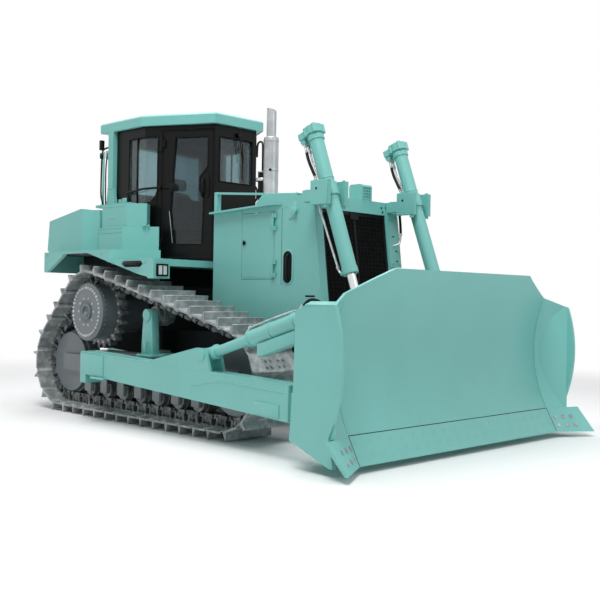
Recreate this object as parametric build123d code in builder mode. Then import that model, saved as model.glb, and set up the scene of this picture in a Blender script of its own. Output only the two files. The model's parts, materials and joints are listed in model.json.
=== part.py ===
"""Crawler bulldozer with an elevated sprocket and a semi-U blade.

Millimetres, +X forward, +Y to the left, +Z up.  The origin is on the ground,
halfway along the machine from the drawbar to the tips of the end bits.
"""
from build123d import *
from math import asin, atan2, cos, degrees, hypot, pi, radians, sin, tan
import os

os.makedirs("parts", exist_ok=True)

# ---------------------------------------------------------------- sizes
# Stations along the machine, from the rear idler's axle
rear_idler_x = -2060
wheelbase = 2885
sprocket_ahead = 550
front_idler_x = rear_idler_x + wheelbase
sprocket_x = rear_idler_x + sprocket_ahead

# Track chain
track_gauge = 1980
shoe_width = 560
shoe_count = 40
shoe_pitch = 215
sprocket_z = 1130
sprocket_pin_radius = 383
idler_pin_radius = 402
pin_to_plate = 58            # pin centre to the inside of the shoe plate
plate_thickness = 22
grouser_height = 68
rail_depth = 52              # pin centre to the running surface of the links
rail_thickness = 46
rail_spacing = 150           # between the centres of the two link rails
tip_reach = pin_to_plate + plate_thickness + grouser_height
idler_z = idler_pin_radius + tip_reach
track_y = track_gauge / 2

# Running gear
running_gap = 0.3            # between a roller or idler and the chain it touches
half_link_turn = asin(shoe_pitch / 2 / idler_pin_radius)
idler_radius = idler_pin_radius * cos(half_link_turn) - rail_depth - running_gap
idler_flange = 22
roller_radius = 100
roller_flange = 18
roller_count = 7
roller_z = tip_reach + rail_depth + running_gap + roller_radius
roller_first = 430           # first roller ahead of the rear idler
roller_last = wheelbase - 535
carrier_ahead = 1620         # carrier roller ahead of the rear idler
carrier_radius = 92
frame_beam_width = 250
frame_beam_bottom = 385
frame_beam_top = 700

# Push arms and their trunnions on the roller frames
pivot_x = -1030
pivot_z = 560
arm_inner_y = 1315
arm_width = 185
trunnion_radius = 70
pin_fit = 0.05               # radial running fit of a pin in its bore
side_gap = 8                 # between a turning piece and the cheek beside it

# Final drives
hub_radius = 315
hub_outer_y = 1235
drum_radius = 300

# Blade
blade_half = 1710
blade_front_x = 2692         # lower edge of the cutting edge
ground_clearance = 56
moldboard_radius = 1203
moldboard_bottom = (2570, 276)
moldboard_top = (2644, 1560)
moldboard_plate = 28
end_plate = 30
shoulder_z = 1355            # top edge at the fold between moldboard and wing
crown_half = 988
wing_height = 1265
wing_shift = (125, -90)      # the wing's arc at the end plate, against the moldboard's
corner_foot = (2452, 1502)   # plan of the flat plate in each corner
corner_front_x = 2655
tip = (2897, 1809)           # lowest corner of the end bit
bit_corner = (2700, 1830)    # its outer upper corner
edge_joint_y = 1450
edge_thickness = 32

# Joints between the push arms, braces and blade
arm_pin = (2115, 400)
arm_pin_radius = 40
brace_low = (840, 793)
brace_high = (2200, 1195)
brace_pin_radius = 28
brace_eye_radius = 62

# Lift cylinders, measured along their axis from the trunnion
cylinder_y = 613
trunnion_x = 1540
trunnion_z = 2290
eye_x = 2150
eye_z = 620
barrel_radius = 68
barrel_wall = 16
barrel_above = 640
barrel_below = 805
gland_length = 28
piston_length = 30
piston_rest = 272
end_wall = 20
cap_height = 80
rod_radius = 40
eye_radius = 68
eye_width = 96
pin_radius = 30
band_radius = barrel_radius + 16
trunnion_pin_radius = 38
yoke_cheek = 45
yoke_radius = 105
nut_ahead = 70
yoke_rise = (-135, 85)       # foot and top of the cheeks against the trunnion
yoke_setback = 125           # carrier behind the trunnion, clear of the turning barrel
yoke_carrier = 100
yoke_rear_x = 1330
cheek_inner = band_radius + side_gap
cheek_outer = cheek_inner + yoke_cheek
carrier_low = trunnion_z - yoke_carrier
lug_thickness = 36

# Main frame
case_front_x = -1030
case_rear_x = -2140
case_half = 560
case_top = 1640
rail_half = 330
rail_plate = 60
rail_bottom = 640
rail_top = 940
pivot_shaft_radius = 80
face_gap = 0.3               # between faces of neighbouring pieces

# Engine enclosure and radiator guard
guard_bottom = rail_top + face_gap
side_y = 550
guard_x = 1452               # front of the guard at its foot
guard_lean = 7.1
guard_depth = 230
guard_half = 560
guard_top = 2290
guard_column = 100
guard_sill = 120
guard_lintel = 130
bar_count = 15
rung_count = 26
bar_width = 8
hood_rear_x = 595
hood_slant = (480, 2253)     # foot of the hood's slanted rear edge
hood_front_z = 2315
hood_rear_z = 2343
sheet = 12
box_rear_x = -170
box_bottom = 950
ledge_zs = (2190, 2240)      # top of the engine's sides, at the rear and at the guard
ledge_width = 70
ledge_sheet = 18
post_top = 2405
door_rear_x = 280
door_front_x = 750
door_bottom = 1500
door_top = 2150
door_gap = 5
hinge_radius = 14
hinge_pin_radius = 7
hinge_out = 20               # hinge axis outside the face of its door
knuckle_half = 40
engine_hinge_zs = (door_bottom + 100, door_top - 100)

# Cab, platform and fenders
fender_y = 1250
fender_inner_y = 730
fender_rear_x = -2410
fender_front_x = -250
deck_z = 1690
deck_thickness = 25
riser = 110                  # the fenders behind the doors stand higher
lip_depth = 70
roof_top = 3314
roof_height = 114
cab_wall = 50
pane = 6
cab_inset = 55
door_clearance = 40          # under a cab door, above the platform
roof_outline = ((-2000, 780), (-1210, 760), (-420, 350))
rops_x = (-1840, -1740)
riser_corner = (-1050, -665, -860)   # X of the riser's three corners, outside to inside
tank_rear_x = -2700
seat_x = -1330
tank_half = 1050
tank_top = 2300
tank_fall = 110              # of its top toward the rear
drawbar_end_x = -tip[0]      # as far behind the origin as the blade is ahead
hitch_x = -2780


def mirrored(solid):
    """The same piece on the machine's other side."""
    return solid.mirror(Plane.XZ)


def both_sides(solid):
    """A piece with its twin, as two solids of one node."""
    return Compound(children=list(solid.solids()) + list(mirrored(solid).solids()))


def write(part, name):
    """Label a finished piece and write its STEP file."""
    part.label = name
    export_step(part, f"parts/{name}.step")


def xz(y):
    """Drawing plane seen from the machine's right side, +X right and +Z up."""
    return Plane(origin=(0, y, 0), x_dir=(1, 0, 0), z_dir=(0, -1, 0))


# ---------------------------------------------------------------- track
def tangent_angle(a, b):
    """Direction of the outer belt line that leaves circle a and meets circle b."""
    (ax, az, ar), (bx, bz, br) = a, b
    span = hypot(bx - ax, bz - az)
    return atan2(bz - az, bx - ax) + asin((br - ar) / span)


wheels = (
    (front_idler_x, idler_z, idler_pin_radius),
    (rear_idler_x, idler_z, idler_pin_radius),
    (sprocket_x, sprocket_z, sprocket_pin_radius),
)


def pin_path():
    """Straight runs and arcs of the pin line, clockwise seen from the right."""
    order = (wheels[2], wheels[0], wheels[1])
    angles = [tangent_angle(order[i], order[(i + 1) % 3]) for i in range(3)]
    runs = []
    for i in range(3):
        (ax, az, ar), (bx, bz, br) = order[i], order[(i + 1) % 3]
        t = angles[i]
        start = (ax - ar * sin(t), az + ar * cos(t))
        end = (bx - br * sin(t), bz + br * cos(t))
        turn = (t - angles[(i + 1) % 3]) % (2 * pi)
        runs.append(("line", start, end, t))
        runs.append(("arc", (bx, bz), br, t, turn))
    return runs


def walk(runs, distance):
    """Point and heading at a distance along the pin line."""
    for run in runs:
        if run[0] == "line":
            _, start, end, t = run
            length = hypot(end[0] - start[0], end[1] - start[1])
            if distance <= length:
                return (start[0] + distance * cos(t), start[1] + distance * sin(t))
        else:
            _, centre, r, t, turn = run
            length = r * turn
            if distance <= length:
                a = t - distance / r
                return (centre[0] - r * sin(a), centre[1] + r * cos(a))
        distance -= length
    return walk(runs, distance)


runs = pin_path()
path_length = sum(
    hypot(r[2][0] - r[1][0], r[2][1] - r[1][1]) if r[0] == "line" else r[2] * r[4]
    for r in runs
)
link = path_length / shoe_count
pins = [walk(runs, link * (i + 0.5)) for i in range(shoe_count)]

# One shoe's outline: share of the pitch, height over the pin line
shoe_outline = (
    (0.03, pin_to_plate + plate_thickness),
    (0.76, pin_to_plate + plate_thickness),
    (0.82, tip_reach),
    (0.92, tip_reach),
    (0.97, pin_to_plate + plate_thickness),
)
link_outline = ((0.08, -rail_depth), (0.92, -rail_depth))


def chain_points(outline):
    """A pattern repeated on each link, on the line from pin to pin."""
    points = []
    for i, (px, pz) in enumerate(pins):
        qx, qz = pins[(i + 1) % shoe_count]
        t = atan2(qz - pz, qx - px)
        for share, out in outline:
            points.append((
                px + share * (qx - px) - out * sin(t),
                pz + share * (qz - pz) + out * cos(t),
            ))
    return points


with BuildPart() as track_right:
    with BuildSketch(xz(-track_y - shoe_width / 2 + shoe_width)):
        with BuildLine():
            Polyline(chain_points(shoe_outline), close=True)
        make_face()
        with BuildLine(mode=Mode.PRIVATE) as inside:
            Polyline(chain_points(((0.0, pin_to_plate),)), close=True)
        make_face(inside.line, mode=Mode.SUBTRACT)
    extrude(amount=shoe_width)
    for rail in (-1, 1):
        with BuildSketch(xz(-track_y + rail * rail_spacing / 2 + rail_thickness / 2)):
            with BuildLine():
                Polyline(chain_points(((0.0, pin_to_plate + plate_thickness / 2),)), close=True)
            make_face()
            with BuildLine(mode=Mode.PRIVATE) as bore:
                Polyline(chain_points(link_outline), close=True)
            make_face(bore.line, mode=Mode.SUBTRACT)
        extrude(amount=rail_thickness)
write(track_right.part, "track_right")
write(mirrored(track_right.part), "track_left")
print("track", round(link, 1), "mm pitch")


# ---------------------------------------------------------------- running gear
def wheel_profile(radius, half_width, flange, flange_half, bore):
    """Half section of a wheel that turns about Y: (distance from axle, y)."""
    return (
        (bore, -half_width), (radius, -half_width), (radius, -flange_half),
        (radius + flange, -flange_half), (radius + flange, flange_half),
        (radius, flange_half), (radius, half_width), (bore, half_width),
    )


def wheel_at(x, y, z, profile):
    """A revolved wheel with its axle along Y."""
    with BuildPart() as wheel:
        with BuildSketch(Plane(origin=(x, y, z), x_dir=(0, 0, 1), z_dir=(1, 0, 0))):
            with BuildLine():
                Polyline([(r, -side) for r, side in profile], close=True)
            make_face()
        revolve(axis=Axis((x, y, z), (0, 1, 0)))
    return wheel.part


rail_outer = rail_spacing / 2 + rail_thickness / 2
rail_inner = rail_spacing / 2 - rail_thickness / 2 - 6
axle_radius = 35
idler_profile = wheel_profile(idler_radius, rail_outer, idler_flange, rail_inner, axle_radius + pin_fit)
roller_profile = wheel_profile(roller_radius, rail_outer, roller_flange, rail_inner, axle_radius + pin_fit)
carrier_profile = wheel_profile(carrier_radius, rail_outer, roller_flange, rail_inner, axle_radius + pin_fit)

rear_idler = wheel_at(rear_idler_x, -track_y, idler_z, idler_profile)
write(both_sides(rear_idler), "rear_idlers")
front_idler = wheel_at(front_idler_x, -track_y, idler_z, idler_profile)
write(both_sides(front_idler), "front_idlers")

roller_step = (roller_last - roller_first) / (roller_count - 1)
roller_xs = [rear_idler_x + roller_first + roller_step * i for i in range(roller_count)]
rollers = [wheel_at(x, -track_y, roller_z, roller_profile) for x in roller_xs]
write(both_sides(Compound(children=rollers)), "track_rollers")


def top_run_z(x):
    """Height of the pin line of the upper run."""
    (_, start, end, t) = runs[0]
    return start[1] + (x - start[0]) * tan(t)


carrier_x = rear_idler_x + carrier_ahead
carrier_z = top_run_z(carrier_x) - (rail_depth + running_gap + carrier_radius) / cos(runs[0][3])
carrier = wheel_at(carrier_x, -track_y, carrier_z, carrier_profile)
write(both_sides(carrier), "carrier_rollers")

# Roller frame: a beam with an idler fork at each end, roller brackets under it,
# the push arm's trunnion and the carrier roller's post
beam_inner_y = -track_y + frame_beam_width / 2
fork_gap = rail_outer + side_gap
fork_plate = 30
beam_rear_x = rear_idler_x + idler_radius + idler_flange + 40
beam_front_x = front_idler_x - idler_radius - idler_flange - 40
with BuildPart() as roller_frame:
    with BuildSketch(xz(beam_inner_y)):
        with BuildLine():
            Polyline(
                (beam_rear_x, frame_beam_bottom + 60), (beam_rear_x + 200, frame_beam_bottom + 35),
                (beam_front_x, frame_beam_bottom + 35), (beam_front_x, frame_beam_top - 90),
                (beam_front_x - 500, frame_beam_top), (beam_rear_x, frame_beam_top), close=True,
            )
        make_face()
    extrude(amount=frame_beam_width)
    for side in (-1, 1):
        plate_y = -track_y + side * (fork_gap + fork_plate / 2) + fork_plate / 2
        # Idler forks
        for axle_x, end_x in ((rear_idler_x, beam_rear_x), (front_idler_x, beam_front_x)):
            reach = 1 if end_x > axle_x else -1
            with BuildSketch(xz(plate_y)):
                with BuildLine():
                    Polyline(
                        (axle_x - reach * 90, idler_z - 90), (end_x + reach * 160, idler_z - 100),
                        (end_x + reach * 160, idler_z + 100), (axle_x - reach * 90, idler_z + 90),
                        close=True,
                    )
                make_face()
            extrude(amount=fork_plate)
        # Roller brackets
        for x in roller_xs:
            with BuildSketch(xz(plate_y)):
                with BuildLine():
                    Polyline(
                        (x - 60, roller_z - 50), (x + 60, roller_z - 50),
                        (x + 60, frame_beam_bottom + 60), (x - 60, frame_beam_bottom + 60), close=True,
                    )
                make_face()
            extrude(amount=fork_plate)
    # Axles through the idlers and rollers
    for x, z in [(rear_idler_x, idler_z), (front_idler_x, idler_z)] + [(x, roller_z) for x in roller_xs]:
        with BuildSketch(xz(-track_y + fork_gap + fork_plate)):
            with Locations((x, z)):
                Circle(axle_radius)
        extrude(amount=2 * (fork_gap + fork_plate))
    # Trunnion for the push arm
    with BuildSketch(xz(beam_inner_y)):
        with Locations((pivot_x, pivot_z)):
            Circle(trunnion_radius + 45)
    extrude(amount=arm_inner_y - side_gap + beam_inner_y)
    with BuildSketch(xz(-arm_inner_y + 60)):
        with Locations((pivot_x, pivot_z)):
            Circle(trunnion_radius)
    extrude(amount=arm_width + 40)
    # Carrier roller's post and axle
    post_y = -track_y - rail_outer - side_gap
    post_foot_half, post_head_half = 95, 62
    with BuildSketch(xz(post_y)):
        with BuildLine():
            Polyline(
                (carrier_x - post_head_half, carrier_z), (carrier_x - post_foot_half, frame_beam_top - 60),
                (carrier_x + post_foot_half, frame_beam_top - 60), (carrier_x + post_head_half, carrier_z),
            )
            ThreePointArc(
                (carrier_x + post_head_half, carrier_z), (carrier_x, carrier_z + post_head_half),
                (carrier_x - post_head_half, carrier_z),
            )
        make_face()
    extrude(amount=80)
    with BuildSketch(Plane.XY.offset(frame_beam_top - 60)):
        with Locations((carrier_x, -track_y - 60)):
            Rectangle(2 * post_foot_half, 200)
    extrude(amount=120)
    with BuildSketch(xz(-track_y + rail_outer)):
        with Locations((carrier_x, carrier_z)):
            Circle(axle_radius)
    extrude(amount=2 * rail_outer + side_gap + 20)
write(both_sides(roller_frame.part), "roller_frames")

# ---------------------------------------------------------------- final drives
tooth_count = 22
sprocket_half = rail_inner - 2
root_radius = sprocket_pin_radius - 28
tooth_radius = sprocket_pin_radius + 22
tooth_points = []
for i in range(tooth_count):
    middle = 2 * pi * i / tooth_count
    for share, r in ((-0.34, root_radius), (-0.13, tooth_radius), (0.13, tooth_radius), (0.34, root_radius)):
        a = middle + 2 * pi * share / tooth_count
        tooth_points.append((sprocket_x + r * cos(a), sprocket_z + r * sin(a)))
with BuildPart() as sprocket:
    with BuildSketch(xz(-track_y + sprocket_half)):
        with BuildLine():
            Polyline(tooth_points, close=True)
        make_face()
        with Locations((sprocket_x, sprocket_z)):
            Circle(drum_radius - 20, mode=Mode.SUBTRACT)
    extrude(amount=2 * sprocket_half)
write(both_sides(sprocket.part), "sprockets")

hub_profile = (
    (0, -case_half - face_gap), (230, -case_half - face_gap), (230, -track_y + sprocket_half + 60),
    (drum_radius, -track_y + sprocket_half + 20), (drum_radius, -track_y + sprocket_half + running_gap),
    (drum_radius - 20 - running_gap, -track_y + sprocket_half + running_gap),
    (drum_radius - 20 - running_gap, -track_y - sprocket_half - running_gap),
    (drum_radius, -track_y - sprocket_half - running_gap), (drum_radius, -hub_outer_y + 55),
    (hub_radius, -hub_outer_y + 50), (hub_radius, -hub_outer_y + 15), (hub_radius - 40, -hub_outer_y),
    (130, -hub_outer_y), (115, -hub_outer_y + 12), (0, -hub_outer_y + 12),
)
with BuildPart() as final_drive:
    with BuildSketch(Plane(origin=(sprocket_x, 0, sprocket_z), x_dir=(0, 0, 1), z_dir=(1, 0, 0))):
        with BuildLine():
            Polyline([(r, -y) for r, y in hub_profile], close=True)
        make_face()
    revolve(axis=Axis((sprocket_x, 0, sprocket_z), (0, 1, 0)))
write(both_sides(final_drive.part), "final_drives")

# ---------------------------------------------------------------- main frame
with BuildPart() as main_frame:
    # Steering case between the final drives
    with BuildSketch(xz(case_half)):
        with BuildLine():
            Polyline(
                (case_rear_x, 700), (case_front_x, 620), (case_front_x, 1420), (-1250, case_top),
                (case_rear_x, case_top), close=True,
            )
        make_face()
    extrude(amount=2 * case_half)
    # Two long rails under the engine, tied across at the front
    for side in (-1, 1):
        with BuildSketch(xz(side * rail_half + rail_plate / 2)):
            with BuildLine():
                Polyline(
                    (case_front_x, rail_bottom), (1100, rail_bottom), (1380, 800), (1380, rail_top),
                    (case_front_x, rail_top), close=True,
                )
            make_face()
        extrude(amount=rail_plate)
    with BuildSketch(Plane.XY.offset(rail_bottom)):
        with Locations((0, 0)):
            Rectangle(2060, 2 * rail_half)
    extrude(amount=20)
    with BuildSketch(Plane.XY.offset(800)):
        with Locations((1330, 0)):
            Rectangle(100, 2 * rail_half)
    extrude(amount=rail_top - 800)
    # Saddle for the pivot shaft
    with BuildSketch(xz(case_half)):
        with Locations((pivot_x, pivot_z)):
            Circle(pivot_shaft_radius + face_gap)
    extrude(amount=2 * case_half, mode=Mode.SUBTRACT)
write(main_frame.part, "main_frame")

equalizer_x = 150
with BuildPart() as equalizer_bar:
    with BuildSketch(Plane.YZ.offset(equalizer_x - 70)):
        with BuildLine():
            Polyline(
                (-track_y + 130, frame_beam_bottom + 60), (track_y - 130, frame_beam_bottom + 60),
                (track_y - 130, frame_beam_top - 60), (rail_half, rail_bottom - 0.3),
                (-rail_half, rail_bottom - 0.3), (-track_y + 130, frame_beam_top - 60), close=True,
            )
        make_face()
    extrude(amount=140)
write(equalizer_bar.part, "equalizer_bar")

with BuildPart() as pivot_shaft:
    with BuildSketch(xz(track_y - frame_beam_width / 2 - 0.3)):
        with Locations((pivot_x, pivot_z)):
            Circle(pivot_shaft_radius)
    extrude(amount=2 * track_y - frame_beam_width - 0.6)
write(pivot_shaft.part, "pivot_shaft")

hitch_bore_radius = 35
hitch_z = 620
drawbar_front_x = case_rear_x - face_gap
with BuildPart() as drawbar:
    with BuildSketch(Plane.XY.offset(hitch_z - 45)):
        with BuildLine():
            Polyline(
                (drawbar_front_x, -220), (drawbar_front_x, 220), (case_rear_x - 360, 110), (hitch_x, 110),
                (hitch_x, -110), (case_rear_x - 360, -110), close=True,
            )
        make_face()
        with Locations((hitch_x, 0)):
            Circle(hitch_x - drawbar_end_x)
            Circle(hitch_bore_radius, mode=Mode.SUBTRACT)
    extrude(amount=90)
    with BuildSketch(Plane.YZ.offset(drawbar_front_x)):
        with Locations((0, hitch_z)):
            Rectangle(560, 260)
    extrude(amount=-50)
write(drawbar.part, "drawbar")

with BuildPart() as engine_block:
    with BuildSketch(Plane.XY.offset(rail_top + 0.3)):
        with Locations((300, 0)):
            Rectangle(1200, 640)
    extrude(amount=900)
write(engine_block.part, "engine_block")

# ---------------------------------------------------------------- radiator guard
lean = tan(radians(guard_lean))


def guard_front(z):
    """X of the guard's leaning front face at a height."""
    return guard_x - (z - guard_bottom) * lean


grille_bottom = guard_bottom + guard_sill
grille_top = guard_top - guard_lintel
grille_half = guard_half - guard_column
bracket_low = 1640
bracket_top = carrier_low - face_gap
bracket_out = 80
bracket_lap = 90
bracket_proud = 14
with BuildPart() as radiator_guard:
    with BuildSketch(xz(guard_half)):
        with BuildLine():
            Polyline(
                (guard_x - guard_depth, guard_bottom), (guard_x, guard_bottom),
                (guard_front(guard_top), guard_top), (guard_front(guard_top) - guard_depth, guard_top),
                close=True,
            )
        make_face()
    extrude(amount=2 * guard_half)
    with BuildSketch(xz(grille_half)):
        with BuildLine():
            Polyline(
                (500, grille_bottom), (1700, grille_bottom), (1700, grille_top), (500, grille_top), close=True,
            )
        make_face()
    extrude(amount=2 * grille_half, mode=Mode.SUBTRACT)
    # Bracket plate bolted to the left column, under the cylinder's yoke
    with BuildSketch(xz(guard_half + bracket_out)):
        with BuildLine():
            Polyline(
                (guard_front(bracket_low) - 60, bracket_low),
                (guard_front(bracket_low) + bracket_proud, bracket_low),
                (guard_front(bracket_top) + bracket_proud, bracket_top),
                (guard_front(bracket_top) - 120, bracket_top),
                close=True,
            )
        make_face()
    extrude(amount=bracket_out + bracket_lap)
write(radiator_guard.part, "radiator_guard")

grille_back = 14
grille_frame = 30
with BuildPart() as grille:
    for inset, cut in ((0.3, Mode.ADD), (grille_frame, Mode.SUBTRACT)):
        front = grille_back if cut == Mode.ADD else grille_back - 20
        depth = 30 if cut == Mode.ADD else 80
        low, high = grille_bottom + inset, grille_top - inset
        with BuildSketch(xz(grille_half - inset)):
            with BuildLine():
                Polyline(
                    (guard_front(low) - front, low), (guard_front(high) - front, high),
                    (guard_front(high) - front - depth, high), (guard_front(low) - front - depth, low),
                    close=True,
                )
            make_face()
        extrude(amount=2 * (grille_half - inset), mode=cut)
    low, high = grille_bottom + grille_frame / 2, grille_top - grille_frame / 2
    for i in range(bar_count):
        y = (grille_half - grille_frame) * (2 * (i + 1) / (bar_count + 1) - 1)
        wide = bar_width * 2.5 if i == bar_count // 2 else bar_width
        with BuildSketch(xz(y + wide / 2)):
            with BuildLine():
                Polyline(
                    (guard_front(low) - grille_back - 1, low), (guard_front(high) - grille_back - 1, high),
                    (guard_front(high) - grille_back - 11, high), (guard_front(low) - grille_back - 11, low),
                    close=True,
                )
            make_face()
        extrude(amount=wide)
    for i in range(rung_count):
        z = low + (high - low) * (i + 1) / (rung_count + 1)
        with BuildSketch(Plane.XY.offset(z - bar_width / 2)):
            with Locations((guard_front(z) - grille_back - 20, 0)):
                Rectangle(bar_width, 2 * grille_half - grille_frame)
        extrude(amount=bar_width)
write(grille.part, "grille")

radiator_setback = guard_depth + 30
radiator_depth = 120
with BuildPart() as radiator:
    low, high = rail_top + face_gap, grille_top
    with BuildSketch(xz(grille_half)):
        with BuildLine():
            Polyline(
                (guard_front(low) - radiator_setback, low), (guard_front(high) - radiator_setback, high),
                (guard_front(high) - radiator_setback - radiator_depth, high),
                (guard_front(low) - radiator_setback - radiator_depth, low), close=True,
            )
        make_face()
    extrude(amount=2 * grille_half)
write(radiator.part, "radiator")

# ---------------------------------------------------------------- hood and sides
side_front_x = guard_front(ledge_zs[1]) - guard_depth - face_gap
hood_front_x = guard_front(guard_top) - guard_depth - face_gap


def ledge_z(x):
    """Height of the top of the engine's sides."""
    share = (x - box_rear_x) / (side_front_x - box_rear_x)
    return ledge_zs[0] + share * (ledge_zs[1] - ledge_zs[0])


def hood_outline(inset):
    """Side view of the hood, or of its inside."""
    rear = hood_slant[0] - (sheet if inset else 0)
    front = hood_front_x + inset
    foot = face_gap if not inset else -inset
    return (
        (rear, ledge_z(rear) + foot), (front, ledge_z(front) + foot), (front, hood_front_z - inset),
        (hood_rear_x, hood_rear_z - inset), (rear, hood_slant[1] - inset),
    )


with BuildPart() as hood:
    with BuildSketch(xz(side_y)):
        with BuildLine():
            Polyline(hood_outline(0), close=True)
        make_face()
    extrude(amount=2 * side_y)
    with BuildSketch(xz(side_y - sheet)):
        with BuildLine():
            Polyline(hood_outline(sheet), close=True)
        make_face()
    extrude(amount=2 * (side_y - sheet), mode=Mode.SUBTRACT)
    fillet(hood.edges().filter_by(Axis.Y, reverse=True).group_by(Axis.Z)[-1], 8)
write(hood.part, "hood")

ledge_front = (door_front_x, door_front_x + 120)
with BuildPart() as engine_side:
    with BuildSketch(xz(-side_y + sheet)):
        with BuildLine():
            Polyline(
                (box_rear_x, box_bottom), (guard_front(box_bottom) - guard_depth - face_gap, box_bottom),
                (side_front_x, ledge_zs[1]), (box_rear_x, ledge_zs[0]), close=True,
            )
        make_face()
        with BuildLine(mode=Mode.PRIVATE) as doorway:
            Polyline(
                (door_rear_x - door_gap, door_bottom - door_gap),
                (door_front_x + door_gap, door_bottom - door_gap),
                (door_front_x + door_gap, door_top + door_gap), (door_rear_x - door_gap, door_top + door_gap),
                close=True,
            )
        make_face(doorway.line, mode=Mode.SUBTRACT)
    extrude(amount=sheet)
    # Ledge along the top, with its front corner cut off; its inner part ends behind the hood
    ledges = ((1, ledge_width + 1, ledge_front[1]), (90, 91, hood_slant[0] - 2))
    for inside, width, end in ledges:
        with BuildSketch(xz(-side_y + inside)):
            with BuildLine():
                Polyline(
                    (box_rear_x, ledge_zs[0] - ledge_sheet), (end, ledge_z(end) - ledge_sheet),
                    (end, ledge_z(end)), (box_rear_x, ledge_zs[0]), close=True,
                )
            make_face()
        extrude(amount=width)
    with BuildSketch(Plane.XY.offset(ledge_zs[0] - 50)):
        with BuildLine():
            Polyline(
                (ledge_front[0], -side_y - ledge_width), (ledge_front[1], -side_y),
                (ledge_front[1], -side_y - ledge_width), close=True,
            )
        make_face()
    extrude(amount=100, mode=Mode.SUBTRACT)
    # Post at the rear and the rail from it to the hood
    with BuildSketch(xz(-side_y + 50)):
        with Locations((box_rear_x + 25, (ledge_zs[0] - 1 + post_top) / 2)):
            Rectangle(50, post_top - ledge_zs[0] + 1)
    extrude(amount=50)
    with BuildSketch(xz(-side_y + 26)):
        with BuildLine():
            Polyline(
                (box_rear_x + 20, post_top - 22), (hood_rear_x - 23, hood_rear_z - 18),
                (hood_rear_x - 3, hood_rear_z + 2), (box_rear_x + 20, post_top), close=True,
            )
        make_face()
    extrude(amount=26)
    # Fixed knuckles and pins of the door's hinges
    for z in engine_hinge_zs:
        with BuildSketch(Plane.XY.offset(z - 2 * knuckle_half)):
            with Locations((door_front_x, -side_y - hinge_out)):
                Circle(hinge_pin_radius)
        extrude(amount=4 * knuckle_half)
        for start in (z - 2 * knuckle_half, z + knuckle_half + 1):
            with BuildSketch(Plane.XY.offset(start)):
                with Locations((door_front_x, -side_y - hinge_out)):
                    Circle(hinge_radius)
                with Locations((door_front_x + 22, -side_y - hinge_out / 2 + 1)):
                    Rectangle(40, hinge_out + 2)
            extrude(amount=knuckle_half - 1)
write(both_sides(engine_side.part), "engine_sides")

engine_hinge_y = -side_y - hinge_out
with BuildPart() as engine_door:
    with BuildSketch(xz(-side_y + sheet)):
        with Locations(((door_rear_x + door_front_x) / 2, (door_bottom + door_top) / 2)):
            Rectangle(door_front_x - door_rear_x, door_top - door_bottom)
    extrude(amount=sheet)
    for z in engine_hinge_zs:
        with BuildSketch(Plane.XY.offset(z - knuckle_half)):
            with Locations((door_front_x, engine_hinge_y)):
                Circle(hinge_radius)
            with Locations((door_front_x - 20, engine_hinge_y + hinge_out / 2 + 1)):
                Rectangle(40, hinge_out + 2)
            with Locations((door_front_x, engine_hinge_y)):
                Circle(hinge_pin_radius + pin_fit, mode=Mode.SUBTRACT)
        extrude(amount=2 * knuckle_half)
write(engine_door.part, "engine_door_right")
write(mirrored(engine_door.part), "engine_door_left")

# Lamp box on top of the guard, exhaust and air intake
lamp_box_at = (1195, 200)
lamp_box_size = (170, 150, 160)
slot_pitch = (26, 30)
with BuildPart() as lamp_box:
    with BuildSketch(Plane.XY.offset(guard_top + face_gap)):
        with Locations(lamp_box_at):
            Rectangle(lamp_box_size[0], lamp_box_size[1])
    extrude(amount=lamp_box_size[2])
    fillet(lamp_box.edges().filter_by(Axis.Y).sort_by(Axis.Z)[-2:], 30)
    with BuildSketch(Plane.YZ.offset(lamp_box_at[0] + lamp_box_size[0] / 2)):
        with Locations((lamp_box_at[1], guard_top + lamp_box_size[2] / 2)):
            with GridLocations(slot_pitch[0], slot_pitch[1], 4, 4):
                Rectangle(14, 20)
    extrude(amount=-12, mode=Mode.SUBTRACT)
write(lamp_box.part, "lamp_box")

stack_x = 300
stack_y = -190
stack_radius = 50
muffler_radius = 78
muffler_top = 2960
stack_top = 3290
stack_cut = 50               # fall of its slanted mouth
with BuildPart() as exhaust_stack:
    with BuildSketch(Plane.XY.offset(rail_top + 900.6)):
        with Locations((stack_x, stack_y)):
            Circle(muffler_radius)
    extrude(amount=muffler_top - rail_top - 900.6)
    with BuildSketch(Plane.XY.offset(muffler_top - 1)):
        with Locations((stack_x, stack_y)):
            Circle(stack_radius)
    extrude(amount=stack_top - muffler_top + 1)
    with BuildSketch(Plane.XY.offset(muffler_top + 20)):
        with Locations((stack_x, stack_y)):
            Circle(stack_radius - 5)
    extrude(amount=stack_top - muffler_top, mode=Mode.SUBTRACT)
    with BuildSketch(xz(stack_y + 2 * stack_radius)):
        with BuildLine():
            Polyline(
                (stack_x - stack_radius - 1, stack_top), (stack_x + stack_radius + 1, stack_top - stack_cut),
                (stack_x + stack_radius + 1, stack_top + 1), close=True,
            )
        make_face()
    extrude(amount=4 * stack_radius, mode=Mode.SUBTRACT)
write(exhaust_stack.part, "exhaust_stack")

intake_x = 130
intake_y = -150
intake_top = 2640
with BuildPart() as air_intake:
    with BuildSketch(Plane.XY.offset(rail_top + 900.6)):
        with Locations((intake_x, intake_y)):
            Circle(48)
    extrude(amount=intake_top - rail_top - 900.6)
    with BuildSketch(Plane.XY.offset(intake_top - 100)):
        with Locations((intake_x, intake_y)):
            Circle(70)
    extrude(amount=30)
write(air_intake.part, "air_intake")

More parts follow.
